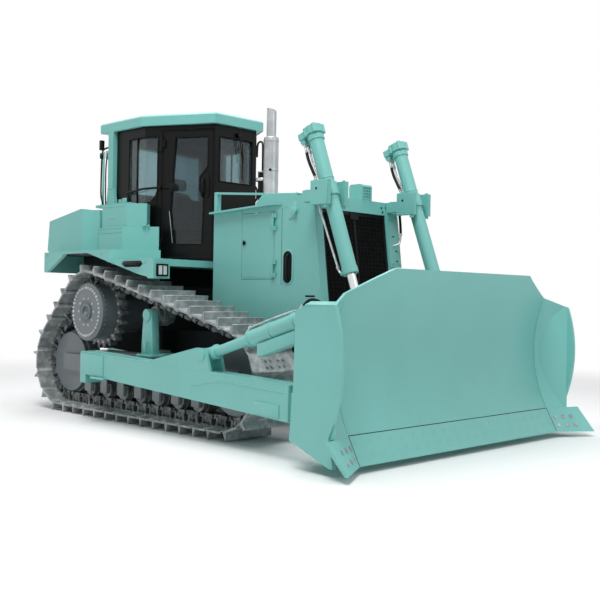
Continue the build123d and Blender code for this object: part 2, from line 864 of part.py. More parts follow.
# ---------------------------------------------------------------- fenders and deck
fender_top = deck_z + riser
plate = 25
flange_y = fender_inner_y + 12
riser_plan = (
    (riser_corner[0], -fender_y), (riser_corner[1], -865), (riser_corner[2], -745),
    (riser_corner[2] - 25, -fender_inner_y),
)
with BuildPart() as fender:
    # Outer skirt, lower beside the platform
    with BuildSketch(xz(-fender_y + 40)):
        with BuildLine():
            Polyline(
                (fender_rear_x, 1570), (fender_rear_x + 60, 1570), (-1960, fender_top - plate),
                (-1550, fender_top - 11), (-500, 1530), (fender_front_x, 1490), (fender_front_x, deck_z),
                (riser_corner[0], deck_z), (riser_corner[0], fender_top), (fender_rear_x, fender_top),
                close=True,
            )
        make_face()
    extrude(amount=40)
    # Platform in front of the door and its lip
    with BuildSketch(Plane.XY.offset(deck_z - plate)):
        with BuildLine():
            Polyline(
                riser_plan[0], (fender_front_x, -fender_y), (fender_front_x, -fender_inner_y), riser_plan[3],
                close=True,
            )
        make_face()
    extrude(amount=plate)
    with BuildSketch(Plane.XY.offset(deck_z - lip_depth)):
        with Locations((fender_front_x - plate / 2, -(fender_y + fender_inner_y) / 2)):
            Rectangle(plate, fender_y - fender_inner_y)
    extrude(amount=lip_depth)
    # Raised part behind it, with the riser between them
    with BuildSketch(Plane.XY.offset(fender_top - plate)):
        with BuildLine():
            Polyline((fender_rear_x, -fender_inner_y), (fender_rear_x, -fender_y), *riser_plan, close=True)
        make_face()
    extrude(amount=plate)
    with BuildSketch(Plane.XY.offset(deck_z - plate)):
        with BuildLine():
            Polyline(
                (riser_corner[0] - plate, -fender_inner_y), (riser_corner[0] - plate, -fender_y), *riser_plan,
                close=True,
            )
        make_face()
    extrude(amount=riser + plate)
    # Inner flange, beside the deck
    with BuildSketch(xz(-fender_inner_y)):
        with BuildLine():
            Polyline(
                (fender_rear_x, deck_z - deck_thickness), (fender_front_x - plate, deck_z - deck_thickness),
                (fender_front_x - plate, deck_z - 1), (riser_plan[3][0] - 1, deck_z - 1),
                (riser_plan[3][0] - 1, fender_top - 1), (fender_rear_x, fender_top - 1), close=True,
            )
        make_face()
    extrude(amount=flange_y - fender_inner_y)
    # Lamp housing at the front corner, rear flange
    with BuildSketch(Plane.XY.offset(1490)):
        with Locations((fender_front_x - 50, -fender_y + 100)):
            Rectangle(100, 200)
    extrude(amount=deck_z - plate - 1490)
    with BuildSketch(Plane.XY.offset(1570)):
        with Locations((fender_rear_x + 15, -(fender_y + fender_inner_y) / 2)):
            Rectangle(30, fender_y - fender_inner_y)
    extrude(amount=fender_top - 1570)
write(both_sides(fender.part), "fenders")

with BuildPart() as deck:
    with BuildSketch(Plane.XY.offset(deck_z - deck_thickness)):
        with Locations(((fender_rear_x + fender_front_x) / 2, 0)):
            Rectangle(fender_front_x - fender_rear_x, 2 * (fender_inner_y - face_gap))
    extrude(amount=deck_thickness)
    with BuildSketch(Plane.XY.offset(deck_z - lip_depth)):
        with Locations((fender_front_x - plate / 2, 0)):
            Rectangle(plate, 2 * (fender_inner_y - face_gap))
    extrude(amount=lip_depth)
    # Clear of the engine in front, on a pad over the steering case behind
    with BuildSketch(Plane.XY.offset(deck_z - lip_depth)):
        with Locations((fender_front_x, 0)):
            Rectangle(140, 2 * (rail_half + 20))
    extrude(amount=lip_depth, mode=Mode.SUBTRACT)
    with BuildSketch(Plane.XY.offset(case_top + face_gap)):
        with Locations((-1700, 0)):
            Rectangle(800, 900)
    extrude(amount=deck_z - case_top - face_gap - 1)
write(deck.part, "deck")

# Tank across the rear, with a shoulder beside each post of the roll-over frame
tank_front_x = -1960
tank_shoulder = ((tank_front_x - 50, tank_half), (tank_front_x + 34, tank_half), (-1750, 930), (-1750, 800),
                 (tank_front_x - 50, 800))
with BuildPart() as fuel_tank:
    with BuildSketch(xz(tank_half)):
        with BuildLine():
            Polyline(
                (tank_rear_x, fender_top + 50), (tank_rear_x + 50, fender_top + face_gap),
                (tank_front_x, fender_top + face_gap), (tank_front_x, tank_top),
                (tank_rear_x + 40, tank_top - tank_fall), close=True,
            )
        make_face()
    extrude(amount=2 * tank_half)
    for side in (-1, 1):
        with BuildSketch(Plane.XY.offset(fender_top + face_gap)):
            with BuildLine():
                Polyline([(x, side * y) for x, y in tank_shoulder], close=True)
            make_face()
        extrude(amount=tank_top - 15 - fender_top)
write(fuel_tank.part, "fuel_tank")

# Boxes beside the cab, angled like the cab's doors; base, top, half width, outer and inner front corners
box_steps = (
    (fender_top + face_gap, 2065, 1010, (-862, -747), (-1000, -685)),
    (2064, 2320, 960, (-980, -826), (-1080, -715)),
)
box_back_x = -1650
box_bend_x = -1180
with BuildPart() as side_box:
    for base, top, out, outer_front, inner_front in box_steps:
        with BuildSketch(Plane.XY.offset(base)):
            with BuildLine():
                Polyline(
                    (rops_x[0], -790), (box_back_x, -790), (box_back_x, -out), (box_bend_x, -out), outer_front,
                    inner_front, (-1220, -760), (rops_x[1] - 5, -760), (rops_x[1] - 5, -620), (rops_x[0], -620),
                    close=True,
                )
            make_face()
        extrude(amount=top - base)
    bends = side_box.edges().filter_by(Axis.Z).filter_by_position(Axis.X, box_bend_x - 1, box_bend_x + 1)
    fillet(bends, 60)
write(both_sides(side_box.part), "side_boxes")

# ---------------------------------------------------------------- cab
floor_z = deck_z + 0.3
rear_pt = (rops_x[1] + 10, roof_outline[0][1] - cab_inset)
bend_pt = (roof_outline[1][0], roof_outline[1][1] - cab_inset)
front_pt = (roof_outline[2][0] - cab_inset, roof_outline[2][1] - cab_inset)
wall_outline = (rear_pt, bend_pt, front_pt)
ceiling = roof_top - roof_height


def plan(points):
    """A closed plan outline from its right half."""
    return [(x, -y) for x, y in points] + [(x, y) for x, y in reversed(points)]


door_share = 0.25
hinge_pt = (
    bend_pt[0] + door_share * (front_pt[0] - bend_pt[0]),
    bend_pt[1] + door_share * (front_pt[1] - bend_pt[1]),
)
wall_dir = atan2(-(front_pt[1] - bend_pt[1]), front_pt[0] - bend_pt[0])
door_length = (1 - door_share) * hypot(front_pt[0] - bend_pt[0], front_pt[1] - bend_pt[1]) - 30
door_plane = Plane(
    origin=(hinge_pt[0], -hinge_pt[1], 0), x_dir=(cos(wall_dir), sin(wall_dir), 0),
    z_dir=(sin(wall_dir), -cos(wall_dir), 0),
)
door_low, door_high = deck_z + door_clearance, ceiling - 50
cab_hinge_zs = (door_low + 150, door_high - 150)


def hinge_plane(height):
    """Level plane on the right door's hinge axis, its X along the door."""
    out = (sin(wall_dir), -cos(wall_dir))
    return Plane(
        origin=(hinge_pt[0] + hinge_out * out[0], -hinge_pt[1] + hinge_out * out[1], height),
        x_dir=(cos(wall_dir), sin(wall_dir), 0), z_dir=(0, 0, 1),
    )


def wall_point(share, out):
    """Plan of a point on the slanted left wall, a distance outside it."""
    x = bend_pt[0] + share * (front_pt[0] - bend_pt[0]) + out * sin(wall_dir)
    y = bend_pt[1] + share * (front_pt[1] - bend_pt[1]) + out * cos(wall_dir)
    return (x, y)


front_window = (2578, 3070)
front_window_half = 238
rear_window = (2500, 3060)
rear_window_half = 475
side_window = (2327, 3084)
side_window_rear_x = -1505
side_window_share = 0.19


def side_opening(side, gap):
    """Plan of a cutter for the bent side window, or of its pane with a gap at both ends."""
    front = side_window_share - gap / hypot(front_pt[0] - bend_pt[0], front_pt[1] - bend_pt[1])
    rear = side_window_rear_x + gap
    outline = (
        (rear, bend_pt[1] + 2 * cab_wall), (rear, bend_pt[1] - 2 * cab_wall), wall_point(front, -2 * cab_wall),
        wall_point(front, 2 * cab_wall), (bend_pt[0], bend_pt[1] + 4 * cab_wall),
    )
    return [(x, side * y) for x, y in outline]


with BuildPart() as cab_frame:
    with BuildSketch(Plane.XY.offset(floor_z)):
        with BuildLine():
            Polyline(plan(wall_outline), close=True)
        make_face()
    extrude(amount=ceiling - floor_z - 0.3)
    with BuildSketch(Plane.XY.offset(floor_z + 30)):
        with BuildLine():
            Polyline(plan(wall_outline), close=True)
        make_face()
        offset(amount=-cab_wall, kind=Kind.INTERSECTION, mode=Mode.REPLACE)
    extrude(amount=ceiling - floor_z, mode=Mode.SUBTRACT)
    # Doorway
    with BuildSketch(door_plane):
        with Locations((door_length / 2, (door_low + door_high) / 2)):
            Rectangle(door_length + 2 * door_gap, door_high - door_low + 2 * door_gap)
    extrude(amount=cab_wall * 2.2, both=True, mode=Mode.SUBTRACT)
    # Front and rear windows, and those that go round the bends of the sides
    with BuildSketch(Plane.YZ.offset(front_pt[0])):
        with Locations((0, sum(front_window) / 2)):
            Rectangle(2 * front_window_half, front_window[1] - front_window[0])
    extrude(amount=cab_wall * 2, both=True, mode=Mode.SUBTRACT)
    with BuildSketch(Plane.YZ.offset(rear_pt[0])):
        with Locations((0, sum(rear_window) / 2)):
            Rectangle(2 * rear_window_half, rear_window[1] - rear_window[0])
    extrude(amount=cab_wall * 2, both=True, mode=Mode.SUBTRACT)
    for side in (-1, 1):
        with BuildSketch(Plane.XY.offset(side_window[0])):
            with BuildLine():
                Polyline(side_opening(side, 0), close=True)
            make_face()
        extrude(amount=side_window[1] - side_window[0], mode=Mode.SUBTRACT)
    # Fixed knuckles and pins of the right door; the left half is its mirror image
    for z in cab_hinge_zs:
        with BuildSketch(hinge_plane(z - 2 * knuckle_half)):
            Circle(hinge_pin_radius)
        extrude(amount=4 * knuckle_half)
        for start in (z - 2 * knuckle_half, z + knuckle_half + 1):
            with BuildSketch(hinge_plane(start)):
                Circle(hinge_radius)
                with Locations((-26, hinge_out / 2 + 1)):
                    Rectangle(40, hinge_out + 2)
            extrude(amount=knuckle_half - 1)
    split(bisect_by=Plane.XZ, keep=Keep.TOP)
    mirror(about=Plane.XZ)
write(cab_frame.part, "cab_frame")

with BuildPart() as cab_roof:
    with BuildSketch(Plane.XY.offset(ceiling)):
        with BuildLine():
            Polyline(plan(roof_outline), close=True)
        make_face()
    extrude(amount=roof_height)
    chamfer(cab_roof.faces().sort_by(Axis.Z)[-1].edges(), 18)
write(cab_roof.part, "cab_roof")

# The pane is notched at its front edge, beside the door's handle
door_window = (
    (150, 1888), (105, 2265), (158, 3065), (545, 3065), (545, 2740), (452, 2623), (452, 2481), (502, 2388),
    (488, 1888),
)
with BuildPart() as cab_door:
    with BuildSketch(door_plane):
        with Locations((door_length / 2, (door_low + door_high) / 2)):
            Rectangle(door_length, door_high - door_low)
        with BuildLine(mode=Mode.PRIVATE) as cut:
            Polyline(door_window, close=True)
        make_face(cut.line, mode=Mode.SUBTRACT)
    extrude(amount=-cab_wall)
    for z in cab_hinge_zs:
        with BuildSketch(hinge_plane(z - knuckle_half)):
            Circle(hinge_radius)
            with Locations((22, hinge_out / 2 + 1)):
                Rectangle(40, hinge_out + 2)
            Circle(hinge_pin_radius + pin_fit, mode=Mode.SUBTRACT)
        extrude(amount=2 * knuckle_half)
write(cab_door.part, "cab_door_right")
write(mirrored(cab_door.part), "cab_door_left")

with BuildPart() as door_glass:
    with BuildSketch(door_plane.offset(-cab_wall / 2)):
        with BuildLine():
            Polyline(door_window, close=True)
        make_face()
        offset(amount=-face_gap, mode=Mode.REPLACE)
    extrude(amount=pane)
write(door_glass.part, "door_glass_right")
write(mirrored(door_glass.part), "door_glass_left")

with BuildPart() as side_pane:
    with BuildSketch(Plane.XY.offset(side_window[0] + face_gap)):
        with BuildLine():
            Polyline(plan(wall_outline), close=True)
        make_face()
        offset(amount=(pane - cab_wall) / 2, kind=Kind.INTERSECTION, mode=Mode.REPLACE)
        offset(amount=-pane, kind=Kind.INTERSECTION, mode=Mode.SUBTRACT)
        with BuildLine(mode=Mode.PRIVATE) as opening:
            Polyline(side_opening(-1, face_gap), close=True)
        make_face(opening.line, mode=Mode.INTERSECT)
    extrude(amount=side_window[1] - side_window[0] - 2 * face_gap)
with BuildPart() as windows:
    with BuildSketch(Plane.YZ.offset(front_pt[0] - cab_wall / 2)):
        with Locations((0, sum(front_window) / 2)):
            Rectangle(2 * (front_window_half - face_gap), front_window[1] - front_window[0] - 2 * face_gap)
    extrude(amount=pane)
    with BuildSketch(Plane.YZ.offset(rear_pt[0] + cab_wall / 2)):
        with Locations((0, sum(rear_window) / 2)):
            Rectangle(2 * (rear_window_half - face_gap), rear_window[1] - rear_window[0] - 2 * face_gap)
    extrude(amount=pane)
    add(side_pane.part)
    add(mirrored(side_pane.part))
write(windows.part, "cab_windows")

with BuildPart() as seat:
    with BuildSketch(Plane.XY.offset(floor_z + 30.3)):
        with Locations((seat_x - 20, 0)):
            RectangleRounded(420, 420, 60)
    extrude(amount=330)
    with BuildSketch(Plane.XY.offset(floor_z + 330)):
        with Locations((seat_x, 0)):
            RectangleRounded(500, 520, 80)
    extrude(amount=140)
    with BuildSketch(Plane.XY.offset(floor_z + 400)):
        with Locations((seat_x - 240, 0)):
            RectangleRounded(140, 480, 60)
    extrude(amount=640)
write(seat.part, "seat")

console_front = front_pt[0] - cab_wall - 20
with BuildPart() as console:
    with BuildSketch(xz(150)):
        with BuildLine():
            Polyline(
                (console_front, floor_z + 30.3), (console_front - 180, floor_z + 30.3),
                (console_front - 240, 2350), (console_front - 120, 2400), (console_front, 2380), close=True,
            )
        make_face()
    extrude(amount=300)
write(console.part, "console")

foot_z = 2350
foot_plan = ((rops_x[0] - 80, 880), (-1300, 880), (-1300, 745), (rops_x[1] + 5, 745), (rops_x[1] + 5, 610),
             (rops_x[0] - 10, 610), (rops_x[0] - 10, 795), (rops_x[0] - 80, 795))
with BuildPart() as rops:
    for side in (-1, 1):
        # Base plate on the side box, post, and a gusset outside its foot
        with BuildSketch(Plane.XY.offset(box_steps[1][1] + face_gap)):
            with BuildLine():
                Polyline([(x, side * y) for x, y in foot_plan], close=True)
            make_face()
        extrude(amount=foot_z - box_steps[1][1] - face_gap)
        with BuildSketch(Plane.XY.offset(foot_z - 1)):
            with Locations((sum(rops_x) / 2, side * 700)):
                Rectangle(rops_x[1] - rops_x[0], 150)
        extrude(amount=ceiling - face_gap - foot_z + 1)
        with BuildSketch(xz(side * 755 + 20)):
            with BuildLine():
                Polyline(
                    (rops_x[0] - 25, foot_z - 1), (rops_x[1] + 45, foot_z - 1), (rops_x[1] + 45, foot_z + 40),
                    (rops_x[1], foot_z + 200), (rops_x[0], foot_z + 200), (rops_x[0] - 25, foot_z + 40),
                    close=True,
                )
            make_face()
        extrude(amount=40)
    with BuildSketch(Plane.YZ.offset(rops_x[0])):
        with Locations((0, ceiling - 80)):
            Rectangle(1400, 150)
    extrude(amount=rops_x[1] - rops_x[0])
write(rops.part, "rops_frame")

# ---------------------------------------------------------------- blade
def circle_centre():
    """Centre of the moldboard's arc, ahead of the blade."""
    (x0, z0), (x1, z1) = moldboard_bottom, moldboard_top
    half = hypot(x1 - x0, z1 - z0) / 2
    reach = (moldboard_radius**2 - half**2) ** 0.5
    t = atan2(z1 - z0, x1 - x0)
    return ((x0 + x1) / 2 + reach * sin(t), (z0 + z1) / 2 - reach * cos(t))


arc_x, arc_z = circle_centre()


def moldboard_x(z, behind=0, shift=(0, 0)):
    """X of the moldboard's front face at a height, of a surface behind it, or of the wing's shifted arc."""
    return arc_x + shift[0] - ((moldboard_radius + behind) ** 2 - (z - arc_z - shift[1]) ** 2) ** 0.5


beam_back = 2230
beam_low, beam_high = 200, 520
crest_low, crest_high = 1120, 1290
crest_back = 2330
arm_centre_y = arm_inner_y + arm_width / 2
rib_ys = (0, 330, 960, 1280)
lug_offset = eye_width / 2 + side_gap + lug_thickness / 2
low, high = moldboard_bottom[1], moldboard_top[1]
wing_out = blade_half - end_plate / 2
fold_y = edge_joint_y


def skin_face(front, back, shift):
    """Section of a curved skin between two depths behind the moldboard's face."""
    mid = (low + high) / 2
    with BuildLine(mode=Mode.PRIVATE) as outline:
        ThreePointArc(*[(moldboard_x(z, front, shift), z) for z in (low, mid, high)])
        Line((moldboard_x(high, front, shift), high), (moldboard_x(high, back, shift), high))
        ThreePointArc(*[(moldboard_x(z, back, shift), z) for z in (high, mid, low)])
        Line((moldboard_x(low, back, shift), low), (moldboard_x(low, front, shift), low))
    make_face(outline.line)


def beam_face(back, bottom, toe, top, shift):
    """Section of a box beam behind the moldboard."""
    mid = (toe + top) / 2
    inside = moldboard_plate - 8
    with BuildLine(mode=Mode.PRIVATE) as outline:
        Polyline(
            (back, bottom), (moldboard_x(toe, inside, shift) - (toe - bottom), bottom),
            (moldboard_x(toe, inside, shift), toe), (moldboard_x(mid, inside, shift), mid),
            (moldboard_x(top, inside, shift), top), (back, top), close=True,
        )
    make_face(outline.line)


# The flat plate that closes each corner, ahead of the wing's skin
with BuildPart() as corner:
    with BuildSketch(Plane.XY.offset(low + 1)):
        with BuildLine():
            Polyline(
                (corner_foot[0] - 12, corner_foot[1] - 10), (corner_front_x, blade_half - end_plate),
                (corner_front_x, wing_out), (corner_foot[0] - 12, wing_out), close=True,
            )
        make_face()
    extrude(amount=high - low - 2)
    with BuildSketch(xz(fold_y)):
        skin_face(moldboard_plate / 2, 400, (0, 0))
    with BuildSketch(xz(wing_out)):
        skin_face(moldboard_plate / 2, 400, wing_shift)
    loft(mode=Mode.SUBTRACT, ruled=True)

beams = ((beam_back, beam_low, low, beam_high), (crest_back, crest_low, crest_low + 15, crest_high))
with BuildPart() as blade:
    with BuildSketch(xz(fold_y)):
        skin_face(0, moldboard_plate, (0, 0))
    extrude(amount=2 * fold_y)
    for beam in beams:
        with BuildSketch(xz(fold_y)):
            beam_face(*beam, (0, 0))
        extrude(amount=2 * fold_y)
    # Wings, whose skin and beams run forward from the fold
    for side in (-1, 1):
        with BuildSketch(xz(side * (fold_y - 1))):
            skin_face(0, moldboard_plate, (0, 0))
        with BuildSketch(xz(side * wing_out)):
            skin_face(0, moldboard_plate, wing_shift)
        loft(ruled=True)
        for beam in beams:
            with BuildSketch(xz(side * (fold_y - 1))):
                beam_face(*beam, (0, 0))
            with BuildSketch(xz(side * wing_out)):
                beam_face(*beam, wing_shift)
            loft(ruled=True)
    add(corner.part)
    add(mirrored(corner.part))
    # Ribs between the beams
    for y in [side * y for y in rib_ys for side in ((-1, 1) if y else (1,))]:
        with BuildSketch(xz(y + 12)):
            with BuildLine():
                Polyline(
                    (beam_back + 60, beam_high - 10), (moldboard_x(beam_high, 15), beam_high - 10),
                    (moldboard_x(arc_z, 15), arc_z), (moldboard_x(crest_low, 15), crest_low + 10),
                    (crest_back + 20, crest_low + 10), close=True,
                )
            make_face()
        extrude(amount=24)
    # Top edge falling to the wings
    for side in (-1, 1):
        with BuildSketch(Plane.YZ.offset(2000)):
            with BuildLine():
                Polyline(
                    (side * crown_half, high), (side * fold_y, shoulder_z), (side * wing_out, wing_height),
                    (side * 2000, wing_height), (side * 2000, 1700), (side * crown_half, 1700), close=True,
                )
            make_face()
        extrude(amount=900, mode=Mode.SUBTRACT)
    # End plates
    for side in (-1, 1):
        with BuildSketch(xz(side * wing_out + end_plate / 2)):
            with BuildLine():
                Polyline(
                    (2375, 1245), (2243, 1225), (2232, 658), (2194, 222), (2620, 60), (2656, 62), (2608, 285),
                )
                ThreePointArc((2608, 285), (2720, 670), (2655, wing_height))
                Line((2655, wing_height), (2375, 1245))
            make_face()
        extrude(amount=end_plate)
    # Lugs for the lift cylinders
    for y in [side * cylinder_y + lug * lug_offset for side in (-1, 1) for lug in (-1, 1)]:
        with BuildSketch(xz(y + lug_thickness / 2)):
            with BuildLine():
                Polyline(
                    (eye_x - 60, eye_z - 50), (beam_back + 40, beam_high - 60),
                    (moldboard_x(arc_z, 15), beam_high - 60), (moldboard_x(arc_z, 15), eye_z + 200),
                    (eye_x + 60, eye_z + 75), (eye_x - 60, eye_z + 60), close=True,
                )
            make_face()
            with Locations((eye_x, eye_z)):
                Circle(pin_radius, mode=Mode.SUBTRACT)
        extrude(amount=lug_thickness)
    # Lugs for the push arms and braces
    for side in (-1, 1):
        for lug in (-1, 1):
            y = side * (arm_centre_y + lug * (arm_width / 2 + side_gap + 20))
            with BuildSketch(xz(y + 15)):
                with BuildLine():
                    Polyline((2060, 330), (beam_back + 20, 290), (beam_back + 20, 500), (2060, 470), close=True)
                make_face()
                with BuildLine(mode=Mode.PRIVATE) as upper:
                    Polyline((2140, 1140), (2380, 1125), (2380, 1285), (2140, 1250), close=True)
                make_face(upper.line)
                with Locations(arm_pin):
                    Circle(arm_pin_radius + pin_fit, mode=Mode.SUBTRACT)
                with Locations(brace_high):
                    Circle(brace_pin_radius + pin_fit, mode=Mode.SUBTRACT)
            extrude(amount=30)
write(blade.part, "blade")

edge_drop = 15
tip_drop = 6
with BuildPart() as cutting_edge:
    with BuildSketch(xz(edge_joint_y)):
        with BuildLine():
            Polyline(
                (blade_front_x, ground_clearance),
                (moldboard_bottom[0] + face_gap, moldboard_bottom[1] - face_gap),
                (moldboard_bottom[0] - edge_thickness, moldboard_bottom[1] - edge_drop),
                (blade_front_x - edge_thickness, ground_clearance), close=True,
            )
        make_face()
    extrude(amount=2 * edge_joint_y)
write(cutting_edge.part, "cutting_edge")


def bit_face(foot, head):
    """Section of an end bit between its front lower and front upper corners, as (x, z)."""
    with BuildLine(mode=Mode.PRIVATE) as outline:
        Polyline(
            foot, head, (head[0] - edge_thickness, head[1] - edge_drop), (foot[0] - edge_thickness, foot[1]),
            close=True,
        )
    make_face(outline.line)


outer_share = (tip[1] - edge_joint_y - face_gap) / (bit_corner[1] - edge_joint_y - face_gap)
outer_foot_x = blade_front_x + (tip[0] - blade_front_x) / outer_share
with BuildPart() as end_bit:
    with BuildSketch(xz(-edge_joint_y - face_gap)):
        bit_face((blade_front_x, ground_clearance), (moldboard_bottom[0], moldboard_bottom[1] - face_gap))
    with BuildSketch(xz(-bit_corner[1])):
        bit_face((outer_foot_x, ground_clearance - tip_drop), (bit_corner[0], moldboard_bottom[1] - face_gap))
    loft(ruled=True)
    # Outer edge leaning in to the tip
    with BuildSketch(Plane.YZ.offset(blade_front_x - 300)):
        with BuildLine():
            Polyline(
                (-bit_corner[1], moldboard_bottom[1]), (-tip[1], ground_clearance - tip_drop), (-tip[1], 0),
                (-bit_corner[1] - 50, 0), (-bit_corner[1] - 50, moldboard_bottom[1]), close=True,
            )
        make_face()
    extrude(amount=600, mode=Mode.SUBTRACT)
write(both_sides(end_bit.part), "end_bits")

arm_rear_x = -1165
arm_front_x = 1981
with BuildPart() as push_arm:
    with BuildSketch(xz(-arm_inner_y)):
        with BuildLine():
            Polyline((arm_rear_x, 725), (arm_front_x, 612), (arm_front_x, 311), (-340, 445), (-1060, 490),
                     (-1060, 400), (arm_rear_x, 400), close=True)
        make_face()
        with Locations((pivot_x, pivot_z)):
            Circle(trunnion_radius + pin_fit, mode=Mode.SUBTRACT)
    extrude(amount=arm_width)
    with BuildSketch(xz(-arm_inner_y - side_gap)):
        with BuildLine():
            Polyline(
                (arm_front_x - 10, 560), (arm_front_x + 190, 450), (arm_front_x + 190, 350),
                (arm_front_x - 10, 330), close=True,
            )
        make_face()
    extrude(amount=arm_width - 2 * side_gap)
    with BuildSketch(xz(-arm_inner_y + side_gap + 35)):
        with Locations(arm_pin):
            Circle(arm_pin_radius)
    extrude(amount=arm_width + 2 * side_gap + 70)
    for y in (-arm_inner_y - 2, -arm_inner_y - arm_width + 27):
        with BuildSketch(xz(y)):
            with BuildLine():
                Polyline((40, 640), (60, 700), (brace_low[0] - 75, brace_low[1] + 62),
                         (brace_low[0] + 60, brace_low[1] + 62), (brace_low[0] + 130, 640), close=True)
            make_face()
            with Locations(brace_low):
                Circle(brace_pin_radius + pin_fit, mode=Mode.SUBTRACT)
        extrude(amount=25)
write(push_arm.part, "push_arm_right")
write(mirrored(push_arm.part), "push_arm_left")


def brace(stages):
    """A strut from the push arm to the blade, as stages along its length."""
    length = hypot(brace_high[0] - brace_low[0], brace_high[1] - brace_low[1])
    rise = atan2(brace_high[1] - brace_low[1], brace_high[0] - brace_low[0])
    plane = Plane(
        origin=(brace_low[0], -arm_centre_y, brace_low[1]), x_dir=(0, 1, 0), z_dir=(cos(rise), 0, sin(rise)),
    )
    with BuildPart() as strut:
        for start, end, radius in stages:
            with BuildSketch(plane.offset(start * length)):
                Circle(radius)
            extrude(amount=(end - start) * length)
        for x, z, half in (brace_low + (arm_width / 2 - 2,), brace_high + (arm_width / 2 + side_gap + 35,)):
            with BuildSketch(xz(-arm_centre_y + 35)):
                with Locations((x, z)):
                    Circle(brace_eye_radius)
            extrude(amount=70)
            with BuildSketch(xz(-arm_centre_y + half)):
                with Locations((x, z)):
                    Circle(brace_pin_radius)
            extrude(amount=2 * half)
    return strut.part


tilt_cylinder = brace(((0.03, 0.5, 46), (0.42, 0.97, 72)))
write(tilt_cylinder, "tilt_cylinder")
tilt_brace = mirrored(brace(((0.03, 0.97, 52), (0.3, 0.7, 62))))
write(tilt_brace, "tilt_brace")

# ---------------------------------------------------------------- lift cylinders
reach = hypot(eye_x - trunnion_x, eye_z - trunnion_z)
swing = atan2(eye_x - trunnion_x, trunnion_z - eye_z)
down = (sin(swing), 0, -cos(swing))
cylinder_plane = Plane(origin=(trunnion_x, -cylinder_y, trunnion_z), x_dir=(0, 1, 0), z_dir=down)
with BuildPart() as barrel:
    with BuildSketch(cylinder_plane.offset(-barrel_above)):
        Circle(barrel_radius)
    extrude(amount=barrel_above + barrel_below)
    # Cap with four lobes for its bolts, and the clamp ring under it
    with BuildSketch(cylinder_plane.offset(-barrel_above)):
        Circle(barrel_radius + 12)
        with PolarLocations(barrel_radius + 8, 4, 45):
            Circle(24)
    extrude(amount=cap_height)
    with BuildSketch(cylinder_plane.offset(-barrel_above + cap_height + 30)):
        Circle(barrel_radius + 9)
    extrude(amount=28)
    # Port block behind the head
    with BuildSketch(cylinder_plane.offset(-barrel_above + 12)):
        with Locations((0, -barrel_radius - 40)):
            Rectangle(104, 110)
    extrude(amount=cap_height - 20)
    # Gland ring at the lower end
    with BuildSketch(cylinder_plane.offset(barrel_below - 60)):
        Circle(barrel_radius + 4)
    extrude(amount=60)
    # Trunnion band and pins
    with BuildSketch(cylinder_plane.offset(-60)):
        Circle(band_radius)
    extrude(amount=120)
    with BuildSketch(xz(-cylinder_y + cheek_outer)):
        with Locations((trunnion_x, trunnion_z)):
            Circle(trunnion_pin_radius)
    extrude(amount=2 * cheek_outer)
    # Bore and gland
    with BuildSketch(cylinder_plane.offset(-barrel_above + end_wall)):
        Circle(barrel_radius - barrel_wall)
    extrude(amount=barrel_above + barrel_below - end_wall - gland_length, mode=Mode.SUBTRACT)
    with BuildSketch(cylinder_plane.offset(barrel_below - gland_length - 1)):
        Circle(rod_radius + pin_fit)
    extrude(amount=gland_length + 2, mode=Mode.SUBTRACT)
write(barrel.part, "lift_barrel_right")
write(mirrored(barrel.part), "lift_barrel_left")

with BuildPart() as rod:
    with BuildSketch(cylinder_plane.offset(piston_rest)):
        Circle(barrel_radius - barrel_wall - pin_fit)
    extrude(amount=piston_length)
    with BuildSketch(cylinder_plane.offset(piston_rest)):
        Circle(rod_radius)
    extrude(amount=reach - piston_rest - eye_radius + 15)
    with BuildSketch(xz(-cylinder_y + eye_width / 2)):
        with Locations((eye_x, eye_z)):
            Circle(eye_radius)
    extrude(amount=eye_width)
write(rod.part, "lift_rod_right")
write(mirrored(rod.part), "lift_rod_left")

with BuildPart() as yoke:
    for side in (-1, 1):
        y = -cylinder_y + side * (cheek_inner + yoke_cheek / 2)
        with BuildSketch(xz(y + yoke_cheek / 2)):
            with Locations((trunnion_x, trunnion_z + sum(yoke_rise) / 2)):
                Rectangle(2 * yoke_radius, yoke_rise[1] - yoke_rise[0])
            with Locations((trunnion_x, trunnion_z)):
                Circle(trunnion_pin_radius + pin_fit, mode=Mode.SUBTRACT)
        extrude(amount=yoke_cheek)
        # Round nuts of the cap's bolts under the cheek
        with BuildSketch(Plane.XY.offset(trunnion_z + yoke_rise[0] + 1)):
            with Locations((trunnion_x + nut_ahead, y)):
                Circle(22)
        extrude(amount=-26)
    # Carrier from the guard's corner to the cheeks
    with BuildSketch(Plane.XY.offset(carrier_low)):
        with BuildLine():
            Polyline(
                (yoke_rear_x, -guard_half - face_gap), (yoke_rear_x, -cylinder_y - cheek_outer),
                (trunnion_x - yoke_radius + 10, -cylinder_y - cheek_outer),
                (trunnion_x - yoke_radius + 10, -cylinder_y - cheek_inner),
                (trunnion_x - yoke_setback, -cylinder_y - cheek_inner),
                (trunnion_x - yoke_setback, -cylinder_y + cheek_inner),
                (trunnion_x - yoke_radius + 10, -cylinder_y + cheek_inner),
                (trunnion_x - yoke_radius + 10, -cylinder_y + cheek_outer),
                (guard_front(carrier_low) + face_gap, -cylinder_y + cheek_outer),
                (guard_front(carrier_low) + face_gap, -guard_half - face_gap), close=True,
            )
        make_face()
    extrude(amount=yoke_carrier)
write(both_sides(yoke.part), "cylinder_yokes")

with BuildPart() as lamps:
    for side in (-1, 1):
        with BuildSketch(Plane.YZ.offset(fender_front_x + face_gap)):
            with Locations((side * (fender_y - 100), 1575)):
                Rectangle(100, 90)
        extrude(amount=20)
        with BuildSketch(Plane.YZ.offset(rops_x[0] - face_gap)):
            with Locations((side * 700, 2950)):
                RectangleRounded(120, 100, 20)
        extrude(amount=-80)
write(lamps.part, "lamps")
